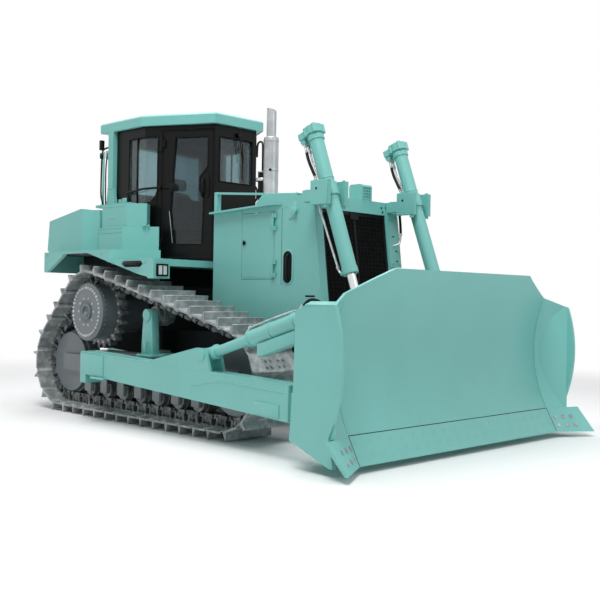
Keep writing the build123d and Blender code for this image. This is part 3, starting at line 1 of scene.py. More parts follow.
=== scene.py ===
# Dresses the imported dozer: paint, steel and glass on its CAD nodes, then bolts,
# hoses, mesh, rails and fittings around them.
import bpy
import bmesh
import json
import math
import random
from mathutils import Matrix, Vector


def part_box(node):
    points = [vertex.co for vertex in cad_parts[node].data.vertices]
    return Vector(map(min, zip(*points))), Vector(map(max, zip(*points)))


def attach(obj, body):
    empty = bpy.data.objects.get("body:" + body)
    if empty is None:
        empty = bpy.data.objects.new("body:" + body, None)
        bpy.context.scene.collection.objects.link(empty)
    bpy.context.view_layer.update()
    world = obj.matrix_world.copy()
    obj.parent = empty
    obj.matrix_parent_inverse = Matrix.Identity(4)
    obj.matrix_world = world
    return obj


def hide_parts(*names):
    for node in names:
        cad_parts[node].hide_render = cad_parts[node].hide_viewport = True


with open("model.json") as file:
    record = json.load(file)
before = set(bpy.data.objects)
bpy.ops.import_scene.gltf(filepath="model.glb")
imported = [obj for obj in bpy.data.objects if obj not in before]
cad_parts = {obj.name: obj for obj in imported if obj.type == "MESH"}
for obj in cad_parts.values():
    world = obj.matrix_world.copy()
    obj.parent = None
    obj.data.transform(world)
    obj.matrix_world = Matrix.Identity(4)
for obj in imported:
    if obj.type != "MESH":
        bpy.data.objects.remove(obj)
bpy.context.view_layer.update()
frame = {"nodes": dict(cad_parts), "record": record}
cadNodes = frame["nodes"]
rng = random.Random(7)
print("frame loaded:", len(cadNodes), "nodes")


# camera, lights and floor

cameraSetup = {
    "place": (7.1337, -6.5178, 1.2975),
    "heading": 135.21,      # degrees from +X towards +Y
    "roll": 0.94,           # degrees
    "focal": 899.8 / 600,   # in image widths
}


def makeCamera():
    sensorWidth = 36.0
    bpy.ops.object.camera_add(location=cameraSetup["place"])
    camera = bpy.context.object
    camera.name = "shotCamera"
    camera.data.sensor_width = sensorWidth
    camera.data.lens = cameraSetup["focal"] * sensorWidth
    camera.data.clip_end = 200
    heading = math.radians(cameraSetup["heading"])
    forward = Vector((math.cos(heading), math.sin(heading), 0))
    turn = forward.to_track_quat("-Z", "Y").to_matrix()
    roll = Matrix.Rotation(math.radians(cameraSetup["roll"]), 3, "Z")
    camera.matrix_world = Matrix.Translation(cameraSetup["place"]) @ (turn @ roll).to_4x4()
    bpy.context.scene.camera = camera


lightSetup = [
    # name, place, size, power, colour
    ("keyLight", (4.0, -5.5, 11.5), 5.0, 760, (1.0, 0.99, 0.97)),
    ("fillLight", (10.5, 1.0, 7.0), 5.0, 150, (0.96, 0.98, 1.0)),
    ("skyLight", (-0.5, 0.0, 10.5), 8.0, 620, (1.0, 1.0, 1.0)),
    ("backLight", (-8.0, 6.0, 7.0), 5.0, 220, (0.98, 0.99, 1.0)),
]


def makeLights():
    for name, place, size, power, colour in lightSetup:
        bpy.ops.object.light_add(type="AREA", location=place)
        light = bpy.context.object
        light.name = name
        light.data.shape = "DISK"
        light.data.size = size
        light.data.energy = power
        light.data.color = colour
        aim = Vector((0, 0, 1.2)) - Vector(place)
        light.rotation_euler = aim.to_track_quat("-Z", "Y").to_euler()


# shader expressions

class Wire:
    # a node's output, so that shader maths reads as plain sums
    def __init__(self, shade, socket):
        self.shade = shade
        self.socket = socket

    def math(self, operation, other):
        return self.shade.node("ShaderNodeMath", {"operation": operation}, {0: self, 1: other})

    def __add__(self, other):
        return self.math("ADD", other)

    def __mul__(self, other):
        return self.math("MULTIPLY", other)

    def clamped(self):
        return self.shade.node("ShaderNodeClamp", {}, {0: self})


class Shade:
    # one material and its nodes
    def __init__(self, name):
        self.material = bpy.data.materials.new(name)
        self.material.use_nodes = True
        self.tree = self.material.node_tree
        self.tree.nodes.clear()
        self.place = self.node("ShaderNodeTexCoord", {}, {}, "Object")

    def node(self, kind, settings, sockets, output=0):
        made = self.tree.nodes.new(kind)
        for key, value in settings.items():
            setattr(made, key, value)
        for key, value in sockets.items():
            if isinstance(value, Wire):
                self.tree.links.new(value.socket, made.inputs[key])
            else:
                made.inputs[key].default_value = value
        return Wire(self, made.outputs[output])

    def noise(self, scale, detail=3.0, roughness=0.5, place=None):
        return self.node("ShaderNodeTexNoise", {}, {
            "Vector": place or self.place, "Scale": scale, "Detail": detail, "Roughness": roughness})

    def stretched(self, x, y, z):
        return self.node("ShaderNodeMapping", {}, {"Vector": self.place, "Scale": (x, y, z)})

    def step(self, value, low, high):
        return self.node("ShaderNodeMapRange", {"interpolation_type": "SMOOTHSTEP"}, {
            "Value": value, "From Min": low, "From Max": high})

    def mixed(self, factor, first, second):
        return self.node("ShaderNodeMix", {"data_type": "RGBA"}, {0: factor, 6: first, 7: second}, 2)

    def height(self):
        return self.node("ShaderNodeSeparateXYZ", {}, {0: self.place}, "Z")

    def bump(self, value, strength, distance):
        return self.node("ShaderNodeBump", {}, {
            "Height": value, "Strength": strength, "Distance": distance})

    def finish(self, **sockets):
        names = {key.replace("_", " "): value for key, value in sockets.items()}
        surface = self.node("ShaderNodeBsdfPrincipled", {}, names)
        output = self.tree.nodes.new("ShaderNodeOutputMaterial")
        self.tree.links.new(surface.socket, output.inputs["Surface"])
        return self.material


def linear(red, green, blue):
    # a colour as it is seen, 0 to 255, as the renderer's light values
    def channel(value):
        value /= 255
        return value / 12.92 if value <= 0.04045 else ((value + 0.055) / 1.055) ** 2.4
    return (channel(red), channel(green), channel(blue), 1.0)


# materials

def makePaint(name, colour, shade, gloss=0.42):
    # sprayed enamel: faint cloudiness, orange peel, and dust that gathers low down
    look = Shade(name)
    clouds = look.step(look.noise(1.7, 4.0), 0.35, 0.7)
    base = look.mixed(clouds * 0.35, colour, shade)
    dusty = look.step(look.height(), 1.1, 0.15) * look.step(look.noise(6.0, 6.0, 0.65), 0.45, 0.75)
    base = look.mixed(dusty * 0.12, base, linear(150, 160, 152))
    streaks = look.step(look.noise(3.0, 5.0, 0.6, look.stretched(6, 6, 0.6)), 0.55, 0.8)
    base = look.mixed(streaks * 0.05, base, linear(78, 138, 132))
    peel = look.noise(420, 2.0)
    dents = look.noise(5.0, 2.0)
    surface = look.bump(peel * 0.25 + dents, 0.12, 0.004)
    rough = look.noise(9.0, 5.0) * 0.22 + (gloss - 0.1) + dusty * 0.2
    return look.finish(Base_Color=base, Roughness=rough, Normal=surface, Coat_Weight=0.25,
                       Coat_Roughness=0.18)


def makeSteel(name, dark, light, rough=0.6, metal=0.35, grain=30):
    # dusty worn steel: bright rubbed patches on a dull grey ground
    look = Shade(name)
    patches = look.step(look.noise(grain * 0.35, 6.0, 0.65), 0.38, 0.68)
    fine = look.noise(grain * 6, 4.0, 0.7)
    base = look.mixed(patches, dark, light)
    base = look.mixed(look.step(fine, 0.58, 0.75) * 0.35, base, linear(84, 84, 80))
    surface = look.bump(fine * 0.5 + patches, 0.35, 0.003)
    return look.finish(Base_Color=base, Roughness=fine * 0.25 + (rough - 0.12),
                       Metallic=metal, Normal=surface)


def makeBlack(name, colour, rough=0.45, grain=160):
    # satin black paint or moulded plastic
    look = Shade(name)
    cloud = look.noise(4.0, 4.0)
    base = look.mixed(look.step(cloud, 0.4, 0.75) * 0.3, colour, linear(18, 20, 21))
    surface = look.bump(look.noise(grain, 2.0), 0.1, 0.002)
    return look.finish(Base_Color=base, Roughness=cloud * 0.2 + (rough - 0.1), Normal=surface,
                       Specular_IOR_Level=0.18)


def makeGlass(name, tint):
    look = Shade(name)
    smears = look.step(look.noise(3.5, 5.0, 0.6), 0.5, 0.85)
    return look.finish(Base_Color=tint, Roughness=smears * 0.06 + 0.02, Transmission_Weight=0.95, IOR=1.45,
                       Alpha=0.95, Specular_IOR_Level=0.3)


def makeFabric(name, colour):
    look = Shade(name)
    weave = look.noise(600, 2.0)
    base = look.mixed(look.step(look.noise(14, 3.0), 0.3, 0.8), colour, linear(58, 60, 62))
    return look.finish(Base_Color=base, Roughness=0.9, Normal=look.bump(weave, 0.3, 0.002), Sheen_Weight=0.3)


# the main frame, equalizer bar, pivot shaft and engine block take a near-black finish, painted shade for
# where they sit in the machine's shadow
nodeFinish = {"final_drives": "hub_paint", "rear_idlers": "hub_paint", "front_idlers": "hub_paint",
              "roller_frames": "hub_paint", "sprockets": "link_steel", "radiator": "edge_seal",
              "track_rollers": "link_steel", "carrier_rollers": "link_steel", "main_frame": "painted_shade_black",
              "equalizer_bar": "painted_shade_black", "pivot_shaft": "painted_shade_black", "engine_block": "painted_shade_black",
              "door_glass_right": "door_glass", "door_glass_left": "door_glass"}
mint = linear(121, 193, 187)
mintShade = linear(111, 184, 177)
materials = {}


def makeMaterials():
    materials["mint_paint"] = makePaint("mintPaint", mint, mintShade)
    materials["track_steel"] = makeSteel("trackSteel", linear(138, 144, 146), linear(184, 189, 190), 0.5)
    materials["link_steel"] = makeSteel("linkSteel", linear(84, 89, 91), linear(138, 143, 144), 0.5)
    # near-black finish that paints in shade: parts under the machine and the fender undersides
    materials["painted_shade_black"] = makeBlack("paintedShadeBlack", linear(26, 34, 34), 0.6)
    materials["hub_paint"] = makePaint("hubPaint", linear(108, 117, 121), linear(98, 107, 111))
    materials["bright_steel"] = makeSteel("brightSteel", linear(182, 186, 188),
                                          linear(214, 217, 219), 0.3, 0.7, 40)
    materials["hose_rubber"] = makeBlack("hoseRubber", linear(22, 23, 24), 0.6, 260)
    materials["edge_seal"] = makeBlack("edgeSeal", linear(14, 15, 16), 0.75)
    materials["cab_black"] = makeBlack("cabBlack", linear(8, 9, 10), 0.34)
    materials["glass"] = makeGlass("tintedGlass", linear(168, 192, 196))
    materials["door_glass"] = makeGlass("doorGlass", linear(96, 122, 130))
    materials["seat_fabric"] = makeFabric("seatFabric", linear(40, 42, 44))
    materials["console_plastic"] = makeBlack("consolePlastic", linear(46, 48, 49), 0.55)
    materials["stack_steel"] = makeSteel("stackSteel", linear(168, 171, 173),
                                         linear(200, 203, 205), 0.36, 0.75, 9)
    materials["rod_chrome"] = makeSteel("rodChrome", linear(205, 208, 210),
                                        linear(230, 232, 233), 0.16, 1.0, 8)
    materials["lamp_lens"] = makeBlack("lampLens", linear(210, 216, 218), 0.15)


def dressNodes():
    # each CAD node takes the finish of its own material slot
    slots = {item["node"]: item["material_slot"] for item in frame["record"]["subparts"]}
    for name, node in cadNodes.items():
        finish = materials[nodeFinish.get(name, slots[name])]
        for slot in node.material_slots:
            slot.material = finish
        if not node.material_slots:
            node.data.materials.append(finish)


# floor and backdrop

floorSetup = {"half": 60.0, "fadeStart": 5.5, "fadeEnd": 11.0}


def makeStage():
    bpy.ops.mesh.primitive_plane_add(size=2 * floorSetup["half"], location=(0, 0, -0.002))
    floor = bpy.context.object
    floor.name = "floor"
    look = Shade("floorPaper")
    far = look.node("ShaderNodeVectorMath", {"operation": "LENGTH"}, {0: look.place}, "Value")
    fade = look.step(far, floorSetup["fadeStart"], floorSetup["fadeEnd"])
    rays = look.node("ShaderNodeLightPath", {}, {}, "Is Camera Ray")
    glossy = look.node("ShaderNodeLightPath", {}, {}, "Is Glossy Ray")
    through = look.node("ShaderNodeLightPath", {}, {}, "Is Transmission Ray")
    seen = (rays + glossy + through).clamped()
    paper = look.node("ShaderNodeBsdfDiffuse", {}, {"Color": (0.93, 0.935, 0.94, 1)})
    white = look.node("ShaderNodeEmission", {}, {"Color": (1, 1, 1, 1), "Strength": 1.0})
    surface = look.node("ShaderNodeMixShader", {}, {0: fade * seen, 1: paper, 2: white})
    output = look.tree.nodes.new("ShaderNodeOutputMaterial")
    look.tree.links.new(surface.socket, output.inputs["Surface"])
    floor.data.materials.append(look.material)

    world = bpy.data.worlds.new("studioWorld")
    bpy.context.scene.world = world
    world.use_nodes = True
    tree = world.node_tree
    tree.nodes.clear()
    paths = tree.nodes.new("ShaderNodeLightPath")
    soft = tree.nodes.new("ShaderNodeBackground")
    soft.inputs["Color"].default_value = (0.97, 0.985, 1.0, 1)
    soft.inputs["Strength"].default_value = 0.27
    plain = tree.nodes.new("ShaderNodeBackground")
    plain.inputs["Color"].default_value = (1, 1, 1, 1)
    plain.inputs["Strength"].default_value = 1.0
    mix = tree.nodes.new("ShaderNodeMixShader")
    seen = tree.nodes.new("ShaderNodeMath")
    seen.operation = "MAXIMUM"
    tree.links.new(paths.outputs["Is Camera Ray"], seen.inputs[0])
    tree.links.new(paths.outputs["Is Glossy Ray"], seen.inputs[1])
    tree.links.new(seen.outputs[0], mix.inputs[0])
    tree.links.new(soft.outputs[0], mix.inputs[1])
    tree.links.new(plain.outputs[0], mix.inputs[2])
    output = tree.nodes.new("ShaderNodeOutputWorld")
    tree.links.new(mix.outputs[0], output.inputs["Surface"])


makeCamera()
makeLights()
makeMaterials()
dressNodes()
makeStage()
bpy.context.scene.view_settings.view_transform = "Standard"
print("stage, lights and finishes made")


# modelling tools

smoothAngle = math.radians(38)


def pick(*pieces):
    # only these are selected, the last one active
    bpy.ops.object.select_all(action="DESELECT")
    for piece in pieces:
        piece.select_set(True)
    bpy.context.view_layer.objects.active = pieces[-1]


def settle(piece):
    # place, turn and size go into the mesh
    pick(piece)
    bpy.ops.object.transform_apply(location=True, rotation=True, scale=True)
    return piece


def soften(piece, width, steps=2, corner=30):
    # rounds every edge sharper than the corner angle
    pick(piece)
    bevel = piece.modifiers.new("edges", "BEVEL")
    bevel.width = width
    bevel.segments = steps
    bevel.limit_method = "ANGLE"
    bevel.angle_limit = math.radians(corner)
    bpy.ops.object.modifier_apply(modifier="edges")
    bpy.ops.object.shade_smooth_by_angle(angle=smoothAngle)
    return piece


def block(low, high, edge=0.0, steps=2):
    bpy.ops.object.select_all(action="DESELECT")
    centre = [(a + b) / 2 for a, b in zip(low, high)]
    bpy.ops.mesh.primitive_cube_add(size=1, location=centre)
    piece = bpy.context.object
    piece.scale = [abs(b - a) for a, b in zip(low, high)]
    settle(piece)
    return soften(piece, edge, steps) if edge else piece


def bar(start, end, radius, sides=20, edge=0.0, foot=None):
    # a round bar between two points; foot gives a cone's second radius
    bpy.ops.object.select_all(action="DESELECT")
    start, end = Vector(start), Vector(end)
    bpy.ops.mesh.primitive_cone_add(
        vertices=sides, radius1=foot or radius, radius2=radius, depth=(end - start).length,
        location=(start + end) / 2)
    piece = bpy.context.object
    piece.rotation_euler = (end - start).to_track_quat("Z", "Y").to_euler()
    settle(piece)
    if edge:
        return soften(piece, edge)
    pick(piece)
    bpy.ops.object.shade_smooth_by_angle(angle=smoothAngle)
    return piece


def plate(points, depth, edge=0.0, steps=2):
    # a flat outline given its thickness along the depth vector
    bpy.ops.object.select_all(action="DESELECT")
    bpy.ops.mesh.primitive_circle_add(vertices=len(points), fill_type="NGON")
    piece = bpy.context.object
    for vertex, point in zip(piece.data.vertices, points):
        vertex.co = point
    bpy.ops.object.mode_set(mode="EDIT")
    bpy.ops.mesh.select_all(action="SELECT")
    bpy.ops.mesh.extrude_region_move(TRANSFORM_OT_translate={"value": depth})
    bpy.ops.mesh.select_all(action="SELECT")
    bpy.ops.mesh.normals_make_consistent(inside=False)
    bpy.ops.object.mode_set(mode="OBJECT")
    return soften(piece, edge, steps) if edge else piece


def pipe(points, radius, sides=12, order=3, closed=False):
    # a pipe along a smooth curve that the points guide
    bpy.ops.object.select_all(action="DESELECT")
    line = bpy.data.curves.new("pipe", "CURVE")
    line.dimensions = "3D"
    spline = line.splines.new("NURBS")
    spline.points.add(len(points) - 1)
    for knot, point in zip(spline.points, points):
        knot.co = (*point, 1)
    spline.order_u = order
    spline.use_endpoint_u = not closed
    spline.use_cyclic_u = closed
    spline.resolution_u = 6
    line.bevel_depth = radius
    line.bevel_resolution = max(1, sides // 4 - 1)
    line.use_fill_caps = not closed
    piece = bpy.data.objects.new("pipe", line)
    bpy.context.collection.objects.link(piece)
    pick(piece)
    bpy.ops.object.convert(target="MESH")
    piece = bpy.context.object
    bpy.ops.object.shade_smooth_by_angle(angle=math.radians(50))
    return piece


def insetFaces(piece, test, thickness, depth=0.0):
    # insets the faces that pass the test, then pushes them in or out along their normals
    pick(piece)
    bpy.ops.object.mode_set(mode="EDIT")
    bpy.ops.mesh.select_mode(type="FACE")
    bpy.ops.mesh.select_all(action="DESELECT")
    shape = bmesh.from_edit_mesh(piece.data)
    for face in shape.faces:
        face.select = test(face.normal, face.calc_center_median())
    bmesh.update_edit_mesh(piece.data)
    bpy.ops.mesh.inset(thickness=thickness, depth=depth)
    bpy.ops.object.mode_set(mode="OBJECT")
    return piece


def moved(piece, matrix):
    # a copy with its own mesh, put in place by a matrix
    twin = piece.copy()
    twin.data = piece.data.copy()
    twin.data.transform(matrix)
    bpy.context.collection.objects.link(twin)
    return twin


def mirroredAcross(piece):
    # its twin on the other side of the machine, faces turned the right way again
    twin = moved(piece, Matrix.Scale(-1, 4, (0, 1, 0)))
    twin.data.flip_normals()
    return twin


def joined(name, parts, finish, body="tractor"):
    # one piece from its parts, with its finish and the body that it rides on
    pick(*parts)
    if len(parts) > 1:
        bpy.ops.object.join()
    piece = bpy.context.object
    piece.name = name
    piece.data.name = name
    piece.data.materials.clear()
    piece.data.materials.append(materials[finish])
    for face in piece.data.polygons:
        face.material_index = 0
    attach(piece, body)
    return piece


def paired(name, parts, finish, body="tractor"):
    # one piece on the right, then its mirror copy on the left
    right = joined(name + "Right", parts, finish, body)
    joined(name + "Left", [mirroredAcross(right)], finish, body.replace("_right", "_left"))


def pairedBolts(name, spots, radius, finish):
    right = boltSet(name + "Right", spots, radius, finish)
    joined(name + "Left", [mirroredAcross(right)], finish)


def ringOf(count, radius, x, y, z, axis, spin=0.0):
    # places round an axle
    angles = [2 * math.pi * (index + spin) / count for index in range(count)]
    return [((x + radius * math.cos(angle), y, z + radius * math.sin(angle)), axis) for angle in angles]


def upright(y, places):
    # an outline that stands in one plane, y across the machine
    return [(x, y, z) for x, z in places]


def aimed(place, axis, spin=0.0):
    # a matrix that stands a +Z model on a surface
    turn = Vector(axis).to_track_quat("Z", "Y").to_matrix().to_4x4()
    return Matrix.Translation(place) @ turn @ Matrix.Rotation(spin, 4, "Z")


boltSetup = {"head": 0.6, "washer": 1.25}   # height and washer against the head's radius


def hexBolt(radius):
    # a washer and a chamfered hexagon head, standing on z = 0
    washer = bar((0, 0, -0.001), (0, 0, radius * 0.18), radius * boltSetup["washer"], 16)
    head = bar((0, 0, 0), (0, 0, radius * (0.18 + boltSetup["head"])), radius, 6)
    insetFaces(head, lambda normal, middle: normal.z > 0.9, radius * 0.16, radius * 0.1)
    pick(washer, head)
    bpy.ops.object.join()
    return bpy.context.object


def boltSet(name, spots, radius, finish, body="tractor"):
    # the same bolt at each place and axis
    model = hexBolt(radius)
    copies = [moved(model, aimed(place, axis, rng.uniform(0, 1))) for place, axis in spots]
    bpy.data.objects.remove(model)
    return joined(name, copies, finish, body)


def weldBead(start, end, radius, ripple=0.0):
    # a run of weld along a joint, a little uneven
    start, end = Vector(start), Vector(end)
    count = max(3, int((end - start).length / 0.06))
    points = []
    for step in range(count + 1):
        spot = start.lerp(end, step / count)
        points.append(spot + Vector([rng.uniform(-ripple, ripple) for _ in range(3)]))
    return pipe(points, radius, 8)


# tracks

trackSetup = {
    "pinOverIdler": 0.0452,     # pin line outside the idler's flange
    "pinOverTooth": -0.0217,    # and inside the sprocket's tips
    "shoes": 40,
    "plate": (0.058, 0.080),    # shoe plate's inner and outer face over the pins
    "grouser": (0.765, 0.955, 0.1476),   # shares of the pitch, and its height over the pins
    "lip": 1.175,
    "boltOut": (-0.105, -0.048, 0.048, 0.105),
    "railOut": 0.075,
    "boss": 0.037,
}


def wheelCentre(node):
    low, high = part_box(node)
    return (low[0] + high[0]) / 2, (low[2] + high[2]) / 2, (high[2] - low[2]) / 2


def pinLine():
    # the pins' places: straight runs and arcs round sprocket, front idler and rear idler
    front, rear, sprocket = (wheelCentre(name) for name in ("front_idlers", "rear_idlers", "sprockets"))
    grow = trackSetup["pinOverIdler"]
    order = [(sprocket[0], sprocket[1], sprocket[2] + trackSetup["pinOverTooth"]),
             (front[0], front[1], front[2] + grow), (rear[0], rear[1], rear[2] + grow)]
    angles = []
    for index in range(3):
        (ax, az, ar), (bx, bz, br) = order[index], order[(index + 1) % 3]
        angles.append(math.atan2(bz - az, bx - ax) + math.asin((br - ar) / math.hypot(bx - ax, bz - az)))
    runs = []
    for index in range(3):
        (ax, az, ar), (bx, bz, br) = order[index], order[(index + 1) % 3]
        angle = angles[index]
        start = (ax - ar * math.sin(angle), az + ar * math.cos(angle))
        end = (bx - br * math.sin(angle), bz + br * math.cos(angle))
        turn = (angle - angles[(index + 1) % 3]) % (2 * math.pi)
        runs.append((math.dist(start, end), start, None, angle, 0))
        runs.append((br * turn, (bx, bz), br, angle, turn))
    whole = sum(run[0] for run in runs)
    pins = []
    for index in range(trackSetup["shoes"]):
        left = whole * (index + 0.5) / trackSetup["shoes"]
        for length, origin, radius, angle, turn in runs:
            if left <= length:
                break
            left -= length
        if radius is None:
            pins.append((origin[0] + left * math.cos(angle), origin[1] + left * math.sin(angle)))
        else:
            turned = angle - left / radius
            pins.append((origin[0] - radius * math.sin(turned), origin[1] + radius * math.cos(turned)))
    return pins


def makeShoe(pitch, half):
    # plate with rolled front edge and a tapered grouser, lying along +X with the ground side up
    inner, outer = trackSetup["plate"]
    start, end, tip = trackSetup["grouser"]
    lip = trackSetup["lip"]     # reaches under the next shoe, so that no gap opens round the wheels
    profile = [(0.012, inner + 0.003), (0.08, inner), (0.90, inner), (0.97, inner - 0.013),
               (lip, inner - 0.013),
               (lip, inner - 0.003), (0.992, inner - 0.001), (0.985, outer - 0.008), (end + 0.012, outer),
               (end - 0.025, tip), (start + 0.085, tip), (start, outer), (0.07, outer),
               (0.012, outer - 0.006)]
    points = [(share * pitch, -half, out) for share, out in profile]
    return plate(points, (0, 2 * half, 0), 0.0025, 1)


def makeLink(pitch):
    # one side link: two bosses, the running rail and two pillars up to the shoe
    inner = trackSetup["plate"][0]
    parts = []
    for side in (-1, 1):
        rail = side * trackSetup["railOut"]
        outer = (rail, rail + side * 0.023)
        inside = (rail - side * 0.023, rail)
        for share, across in ((0.0, inside), (1.0, outer)):
            parts.append(bar((share * pitch, across[0], 0), (share * pitch, across[1], 0),
                             trackSetup["boss"], 14, 0.002))
        parts.append(block((0.0, min(inside), -0.052), (0.56 * pitch, max(inside), -0.018), 0.003, 1))
        parts.append(block((0.44 * pitch, min(outer), -0.052), (1.0 * pitch, max(outer), -0.018), 0.003, 1))
        parts.append(block((0.36 * pitch, rail - 0.023, -0.052),
                           (0.62 * pitch, rail + 0.023, -0.014), 0.003, 1))
        for share in (0.22, 0.68):
            parts.append(block((share * pitch, rail - 0.021, -0.03),
                               ((share + 0.15) * pitch, rail + 0.021, inner + 0.001), 0.003, 1))
        parts.append(bar((pitch, rail, 0), (pitch, rail + side * 0.03, 0), 0.019, 12))
        parts.append(bar((pitch, rail + side * 0.029, 0), (pitch, rail + side * 0.034, 0), 0.010, 8))
    parts.append(bar((pitch, -trackSetup["railOut"], 0), (pitch, trackSetup["railOut"], 0), 0.029, 14))
    return parts


def makeTracks():
    pins = pinLine()
    low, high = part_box("track_right")
    half = (high[1] - low[1]) / 2
    middle = (high[1] + low[1]) / 2
    pitch = math.dist(pins[0], pins[1])
    shoe = makeShoe(pitch, half)
    pick(*makeLink(pitch))
    bpy.ops.object.join()
    chain = bpy.context.object
    bolt = hexBolt(0.015)
    inner, outer = trackSetup["plate"]
    bolts = []
    for out in trackSetup["boltOut"]:
        for share in (0.30, 0.58):
            bolts.append(moved(bolt, Matrix.Translation((share * pitch, out, outer))))
            bolts.append(moved(bolt, aimed((share * pitch, out, inner), (0, 0, -1))))
    pick(shoe, *bolts, shoe)
    bpy.ops.object.join()
    shoe = bpy.context.object
    shoes, chains = [], []
    for index, (x, z) in enumerate(pins):
        nextX, nextZ = pins[(index + 1) % len(pins)]
        angle = math.atan2(nextZ - z, nextX - x)
        place = Matrix.Translation((x, middle, z)) @ Matrix.Rotation(-angle, 4, "Y")
        shoes.append(moved(shoe, place))
        chains.append(moved(chain, place))
    for spare in (shoe, chain, bolt):
        bpy.data.objects.remove(spare)
    shoesRight = joined("shoesRight", shoes, "track_steel")
    chainRight = joined("chainRight", chains, "link_steel")
    shoesLeft = joined("shoesLeft", [mirroredAcross(shoesRight)], "track_steel")
    joined("chainLeft", [mirroredAcross(chainRight)], "link_steel")
    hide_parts("track_right")
    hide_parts("track_left")
    print("tracks:", len(pins), "shoes a side, pitch", round(pitch, 4))


makeTracks()


# final drives, rollers and roller frames

hubSetup = {
    "hubBolts": (36, 0.262, 0.0125),     # count, circle, bolt radius
    "flangeBolts": (36, 0.3075, 0.0095),
    "coverBolts": (10, 0.150, 0.010),
    "segmentBolts": (22, 0.334, 0.013),
}


def makeHubs():
    x, z, _ = wheelCentre("final_drives")
    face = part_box("final_drives")[0][1]
    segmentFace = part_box("sprockets")[0][1]
    pieces = []
    for name, y, way, spin in (("hubBolts", face + 0.001, -1, 0.0), ("flangeBolts", face + 0.050, 1, 0.5),
                               ("coverBolts", face + 0.001, -1, 0.0),
                               ("segmentBolts", segmentFace + 0.001, -1, 0.0)):
        count, circle, size = hubSetup[name]
        spots = ringOf(count, circle, x, y, z, (0, way, 0), spin)
        pieces.append((boltSet(name + "Right", spots, size, "bright_steel"), "bright_steel"))
    cap = bar((x, face + 0.012, z), (x, face - 0.006, z), 0.088, 32, 0.004)
    insetFaces(cap, lambda normal, middle: normal.y < -0.9, 0.02, -0.004)
    plug = hexBolt(0.017)
    plug.data.transform(Matrix.Translation((x + 0.045, face - 0.003, z - 0.02))
                        @ Matrix.Rotation(math.radians(90), 4, "X"))
    pieces.append((joined("hubCapRight", [cap, plug], "hub_paint"), "hub_paint"))
    for piece, finish in pieces:
        joined(piece.name.replace("Right", "Left"), [mirroredAcross(piece)], finish)


def makeRollerCaps():
    # end caps of the seven track rollers, each under its clamp block
    low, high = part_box("track_rollers")
    radius = (high[2] - low[2]) / 2
    first, last = low[0] + radius, high[0] - radius
    z = (low[2] + high[2]) / 2
    caps = []
    for index in range(7):
        x = first + (last - first) * index / 6
        cap = bar((x, low[1] + 0.001, z), (x, low[1] - 0.022, z), 0.058, 24, 0.004)
        insetFaces(cap, lambda normal, middle: normal.y < -0.9, 0.018, -0.006)
        caps.append(cap)
        caps.append(block((x - 0.07, low[1] - 0.012, z + 0.03),
                          (x + 0.07, low[1] + 0.001, z + 0.075), 0.004, 1))
    paired("rollerCaps", caps, "link_steel")
    # dark guard that covers the rollers' upper halves
    guards = []
    top = z + radius + 0.06
    points = upright(low[1] - 0.026, ((low[0] - 0.02, top), (high[0] + 0.04, top),
                                      (high[0] - 0.02, z + 0.055),
                                      (low[0] + 0.06, z + 0.055)))
    guards.append(plate(points, (0, 0.010, 0), 0.003, 1))
    for index in range(8):
        x = low[0] + 0.05 + (high[0] - low[0] - 0.1) * index / 7
        guards.append(block((x - 0.02, low[1] - 0.02, z + 0.06),
                            (x + 0.02, low[1] + 0.10, top + 0.03), 0.003, 1))
    paired("rollerGuard", guards, "edge_seal")


postSetup = {"foot": 0.100, "head": 0.068, "out": (-1.180, -1.092), "base": 0.70}


def makeCarrierPosts():
    # painted post of the carrier roller, with its rib, collar, shaft clamp and saddle
    x, z, _ = wheelCentre("carrier_rollers")
    outer, inner = postSetup["out"]
    foot, head, base = postSetup["foot"], postSetup["head"], postSetup["base"]
    halfWidths = ((foot, base), (foot * 0.92, base + 0.17), (foot * 0.88, base + 0.24),
                  (head * 1.04, z - 0.02),
                  (head, z + 0.02), (head * 0.72, z + 0.062))
    rightEdge = [(x + half, outer, level) for half, level in halfWidths]
    outline = [(x - foot, outer, base)] + rightEdge + [(x - half, outer, level)
                                                       for half, level in reversed(halfWidths[1:])]
    post = plate(outline, (0, inner - outer, 0), 0.007)
    rib = plate([(x - 0.012, outer - 0.035, base), (x + 0.012, outer - 0.035, base), (x + 0.012, outer - 0.03,
                 base + 0.15), (x - 0.012, outer - 0.03, base + 0.15)], (0, 0.05, 0), 0.004)
    collar = block((x - foot - 0.03, outer - 0.045, base - 0.008),
                   (x + foot + 0.03, inner + 0.02, base + 0.018),
                   0.006)
    clamp = bar((x, outer - 0.016, z), (x, inner + 0.01, z), 0.062, 28, 0.005)
    saddle = block((x - 0.16, -1.10, base - 0.004), (x + 0.16, -0.90, base + 0.03), 0.008)
    paired("carrierPost", [post, rib, collar, clamp, saddle], "mint_paint")
    spots = [((x + dx, outer - 0.028, base + 0.017), (0, 0, 1)) for dx in (-0.1, -0.045, 0.045, 0.1)]
    pairedBolts("postBolts", spots, 0.011, "mint_paint")


makeHubs()
makeRollerCaps()
makeCarrierPosts()
print("hub bolts, roller caps and carrier posts made")


# push arms, braces and blade

armSetup = {"cover": (-1.160, -0.735), "coverTop": 0.712, "thick": 0.010}


